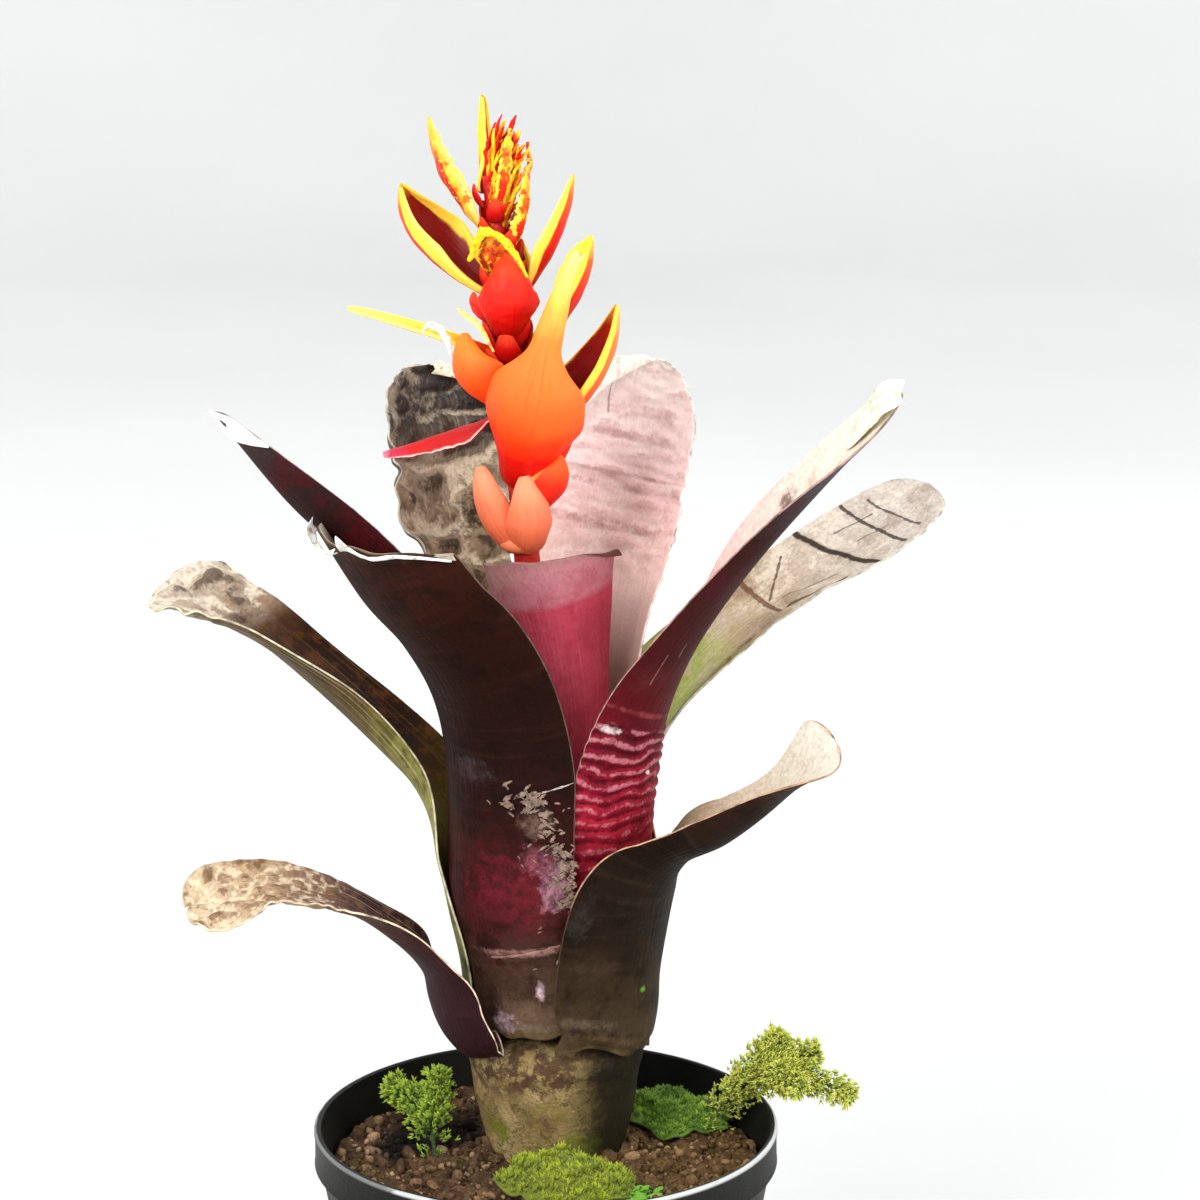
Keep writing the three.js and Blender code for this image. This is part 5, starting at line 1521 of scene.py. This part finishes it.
# A tuft is a few pointed leaves fanning from a point, 1 high, kept as its points and its faces' corners.
def tuftShape(count, spread, width, seed):
    draw = random.Random(seed)
    bm = bmesh.new()
    for i in range(count):
        lean = spread * math.sqrt(draw.random())
        turn = Matrix.Rotation(draw.uniform(0, math.tau), 4, "Z") @ Matrix.Rotation(lean, 4, "X")
        size = draw.uniform(0.7, 1.1)
        place = turn @ Matrix.Translation((0, 0, size / 2)) @ Matrix.Diagonal((1, 0.35, 1, 1))
        bmesh.ops.create_cone(bm, cap_ends=True, segments=4, radius1=width, radius2=width * 0.15, depth=size,
                              matrix=place)
    bm.verts.index_update()
    shape = [vert.co.copy() for vert in bm.verts], [[vert.index for vert in face.verts] for face in bm.faces]
    bm.free()
    return shape


# Adds a tuft to bm, turned and scaled, with a shade that rises to its tips.
def addTuft(bm, layer, tuft, matrix, shade):
    points, faces = tuft
    verts = [bm.verts.new(matrix @ point) for point in points]
    for vert, point in zip(verts, points):
        vert[layer] = clamp(shade + 0.5 * point.z)
    for corners in faces:
        bm.faces.new([verts[i] for i in corners])


def makeCushion(name, shape, tufts):
    cushion = Cushion(shape)
    draw = random.Random(shape["seed"])
    bm = bmesh.new()
    layer = bm.verts.layers.float.new("shade")
    bmesh.ops.create_grid(bm, x_segments=40, y_segments=40, size=1)
    for vert in bm.verts:
        x, y = disc(vert.co.x, vert.co.y, 1.0)
        angle, share = math.atan2(y, x) % math.tau, min(1, math.hypot(x, y))
        px, py, ground, top = cushion.at(angle, share)
        vert.co = (px, py, max(top - 0.0008, ground))
        vert[layer] = 0.25
    bmesh.ops.solidify(bm, geom=bm.faces, thickness=0.0007)
    for i in range(shape["tufts"]):
        angle, share = draw.uniform(0, math.tau), math.sqrt(draw.random()) * 0.97
        px, py, ground, top = cushion.at(angle, share)
        if fromPlant(px, py) < 0.0245:  # clear of the stump
            continue
        size = draw.uniform(0.0016, 0.0030)
        turn = Matrix.Rotation(draw.uniform(0, math.tau), 4, "Z")
        turn = turn @ Matrix.Rotation(draw.uniform(0, 0.5), 4, "X")
        place = Matrix.Translation((px, py, top - 0.0012)) @ turn @ Matrix.Scale(size, 4)
        patch = 0.5 + 0.5 * lumps(Vector((px, py, 0)), 0.010, 2, 9)
        addTuft(bm, layer, draw.choice(tufts), place, 0.15 + 0.5 * patch * draw.random())
    addPiece(name + "_tufts", bm, [mossFinish(*shape["finish"])], "moss", [name])


mossTufts = [tuftShape(9, 1.2, 0.22, seed) for seed in (1, 2, 3)]
for name, shape in cushions.items():
    makeCushion(name, shape, mossTufts)

# Bright lobed fronds at the right end of the front moss.
fronds = {
    "at": (0.0265, -0.0370), "spread": 0.0085, "count": 44, "size": 0.0050, "lobes": 5, "seed": 61,
    "finish": ("moss_fronds", "60960a", "8cc814", "b0e632"),
}


def makeFronds():
    draw = random.Random(fronds["seed"])
    bm = newSheets()
    for i in range(fronds["count"]):
        x, y = (middle + draw.gauss(0, fronds["spread"] * 0.6) for middle in fronds["at"])
        azimuth, size = draw.uniform(0, math.tau), fronds["size"] * draw.uniform(0.6, 1.2)
        way = Vector((math.cos(azimuth), math.sin(azimuth), draw.uniform(0.2, 1.1))).normalized()
        side = way.cross(up).normalized()
        foot = Vector((x, y, soilTop(x, y) + 0.0016))

        def place(t, v):
            lobe = abs(math.sin(t * math.pi * fronds["lobes"] / 2))
            width = 0.35 + 0.65 * lobe * math.sin(math.pi * min(t + 0.12, 1)) ** 0.5
            sag = 0.3 * size * t * t + 0.2 * size * v * v
            return foot + way * (size * t) + side * (0.55 * size * v * width) - up * sag

        addSheet(bm, place, 1, 14, 6)
    addPiece("moss_front_fronds", bm, [mossFinish(*fronds["finish"])], "moss", ["moss_front"], 0.0003)


makeFronds()

# Club moss: branching shoots, each a thin stem set with tiny scale leaves. A shoot is its points and its
# seed.
shoots = {
    "clubmoss_right": [
        ([(0.053, 0.021, 0.119), (0.060, 0.021, 0.129), (0.069, 0.020, 0.138), (0.082, 0.016, 0.141)], 31),
        ([(0.065, 0.021, 0.135), (0.072, 0.026, 0.143), (0.078, 0.028, 0.150)], 32),
        ([(0.077, 0.018, 0.140), (0.088, 0.014, 0.139), (0.100, 0.008, 0.135)], 33),
        ([(0.070, 0.020, 0.138), (0.077, 0.012, 0.141), (0.083, 0.005, 0.139)], 34),
        ([(0.072, 0.019, 0.139), (0.081, 0.024, 0.142), (0.090, 0.026, 0.144)], 35),
    ],
    "clubmoss_left": [
        ([(-0.036, 0, 0.117), (-0.037, 0.004, 0.126), (-0.036, 0.008, 0.136), (-0.035, 0.010, 0.144)], 36),
        ([(-0.037, 0.004, 0.127), (-0.044, 0.008, 0.134), (-0.052, 0.012, 0.138)], 37),
    ],
}
shoot = {
    "stem": 0.0007, "reach": 0.0060, "leaves": 30000, "leaf": 0.0017, "steps": 24,  # leaves in each metre
    "finishes": {"clubmoss_right": ("clubmoss_pale", "344a0e", "6e8a1e", "d4d654"),
                 "clubmoss_left": ("clubmoss_deep", "244206", "567c10", "a0ba28")},
}


def turnTo(way):  # the matrix that turns +Z to a direction
    return way.to_track_quat("Z", "Y").to_matrix().to_4x4()


def makeShoots(name, parts, scaleLeaf):
    bm = bmesh.new()
    layer = bm.verts.layers.float.new("shade")
    steps = shoot["steps"]
    lines = []
    for points, seed in parts:
        values = [[p[k] for p in points] for k in range(3)]
        spans = len(points) - 1
        spine = [Vector([through(v, spans * i / steps) for v in values]) for i in range(steps + 1)]
        lines.append((spine, seed, len(points) == 4))
        for a, b in zip(spine, spine[1:]):
            bmesh.ops.create_cone(bm, cap_ends=True, segments=6, radius1=shoot["stem"],
                                  radius2=shoot["stem"] * 0.9, depth=(b - a).length * 1.1,
                                  matrix=Matrix.Translation((a + b) / 2) @ turnTo(b - a))
    for spine, seed, main in lines:
        draw = random.Random(seed)
        length = sum((b - a).length for a, b in zip(spine, spine[1:]))
        for i in range(int(length * shoot["leaves"])):
            share = draw.random()
            if main and share < 0.35 and draw.random() > share:
                continue  # the foot of a main shoot is nearly bare
            k = min(int(share * steps), steps - 1)
            along = (spine[k + 1] - spine[k]).normalized()
            way = Matrix.Rotation(draw.uniform(0, math.tau), 3, along) @ along.orthogonal().normalized()
            whorl = 0.75 + 0.5 * math.sin(26 * share) ** 2
            reach = shoot["reach"] * draw.random() ** 0.6 * (1.15 - 0.5 * share) * whorl
            spot = mix(spine[k], spine[k + 1], share * steps - k) + way * reach
            point = (along * 0.6 + way * draw.uniform(0.2, 1.3)).normalized()
            size = shoot["leaf"] * draw.uniform(0.7, 1.2)
            place = Matrix.Translation(spot) @ turnTo(point) @ Matrix.Scale(size, 4)
            addTuft(bm, layer, scaleLeaf, place, 0.05 + 0.35 * draw.random() + 0.3 * share + 60 * reach)
    addPiece(name + "_leafy", bm, [mossFinish(*shoot["finishes"][name])], "clubmoss", [name])


scaleLeaf = tuftShape(4, 0.9, 0.3, 5)
for name, parts in shoots.items():
    makeShoots(name, parts, scaleLeaf)
print("moss and club moss made")

# Floor, light and camera.

studio = {"floor": 3.0, "wall": 2.6, "sweep": 1.2, "key": 30, "fill": 14, "back": 10, "wash": 120, "sky": 0.6}
lens = {"place": (0.0175, -1.1, 0.555), "down": 12.9, "length": 108, "sensor": 36}


def makeFloor():  # a round floor that sweeps up into a wall
    flat, sweep = studio["floor"], studio["sweep"]
    section = [(0, 0)] + [(flat * share, 0) for share in (0.02, 0.2, 0.5, 0.8, 1)]
    for i in range(1, 13):
        angle = math.pi / 2 * i / 12
        section.append((flat + sweep * math.sin(angle), sweep * (1 - math.cos(angle))))
    section.append((flat + sweep, studio["wall"]))
    bm = spunMesh(section, 96)
    bmesh.ops.reverse_faces(bm, faces=[f for f in bm.faces if f.normal.z < -0.5])
    floor = addObject("floor", meshFrom("floor", bm))
    finish = Finish("floor_paper")
    broad = finish.grain(0.5, 3, 0.5)
    finish.ramp(broad, {0.2: "bdbebd", 0.8: "c3c4c3"})
    floor.data.materials.append(finish.end(broad * 0.1 + 0.8, broad, 0.0001))


def addSoftbox(name, place, target, size, power, tint=(1, 1, 1)):
    data = bpy.data.lights.new(name, "AREA")
    data.shape = "RECTANGLE"
    data.size, data.size_y = size
    data.energy = power
    data.color = tint
    light = addObject(name, data)
    light.location = place
    light.rotation_euler = (Vector(target) - Vector(place)).to_track_quat("-Z", "Y").to_euler()


def makeStudio():
    makeFloor()
    middle = (0, 0, 0.28)
    addSoftbox("key", (-0.8, -1.3, 1.15), middle, (0.9, 0.9), studio["key"], (1, 0.985, 0.96))
    addSoftbox("fill", (1.2, -0.8, 0.7), middle, (1.0, 1.0), studio["fill"], (0.97, 0.985, 1))
    addSoftbox("back", (0.4, 1.2, 1.2), middle, (1.0, 0.8), studio["back"])
    for i in range(4):  # lights for the wall
        x, y = math.cos(i * math.pi / 2), math.sin(i * math.pi / 2)
        addSoftbox("wash", (1.2 * x, 1.2 * y, 3.0), (4.2 * x, 4.2 * y, 1.3), (4.0, 1.5), studio["wash"])
    world = bpy.data.worlds.new("sky")
    world.use_nodes = True
    sky = next(n for n in world.node_tree.nodes if n.type == "BACKGROUND")
    sky.inputs["Color"].default_value = (0.93, 0.96, 1.0, 1)
    sky.inputs["Strength"].default_value = studio["sky"]
    bpy.context.scene.world = world


def makeCamera():
    data = bpy.data.cameras.new("camera")
    data.lens = lens["length"]
    data.sensor_width = lens["sensor"]
    data.clip_end = 30
    camera = addObject("camera", data)
    camera.location = lens["place"]
    camera.rotation_euler = (math.radians(90 - lens["down"]), 0, 0)
    bpy.context.scene.camera = camera


makeStudio()
makeCamera()
bpy.context.scene.view_settings.view_transform = "Standard"
print("studio made")
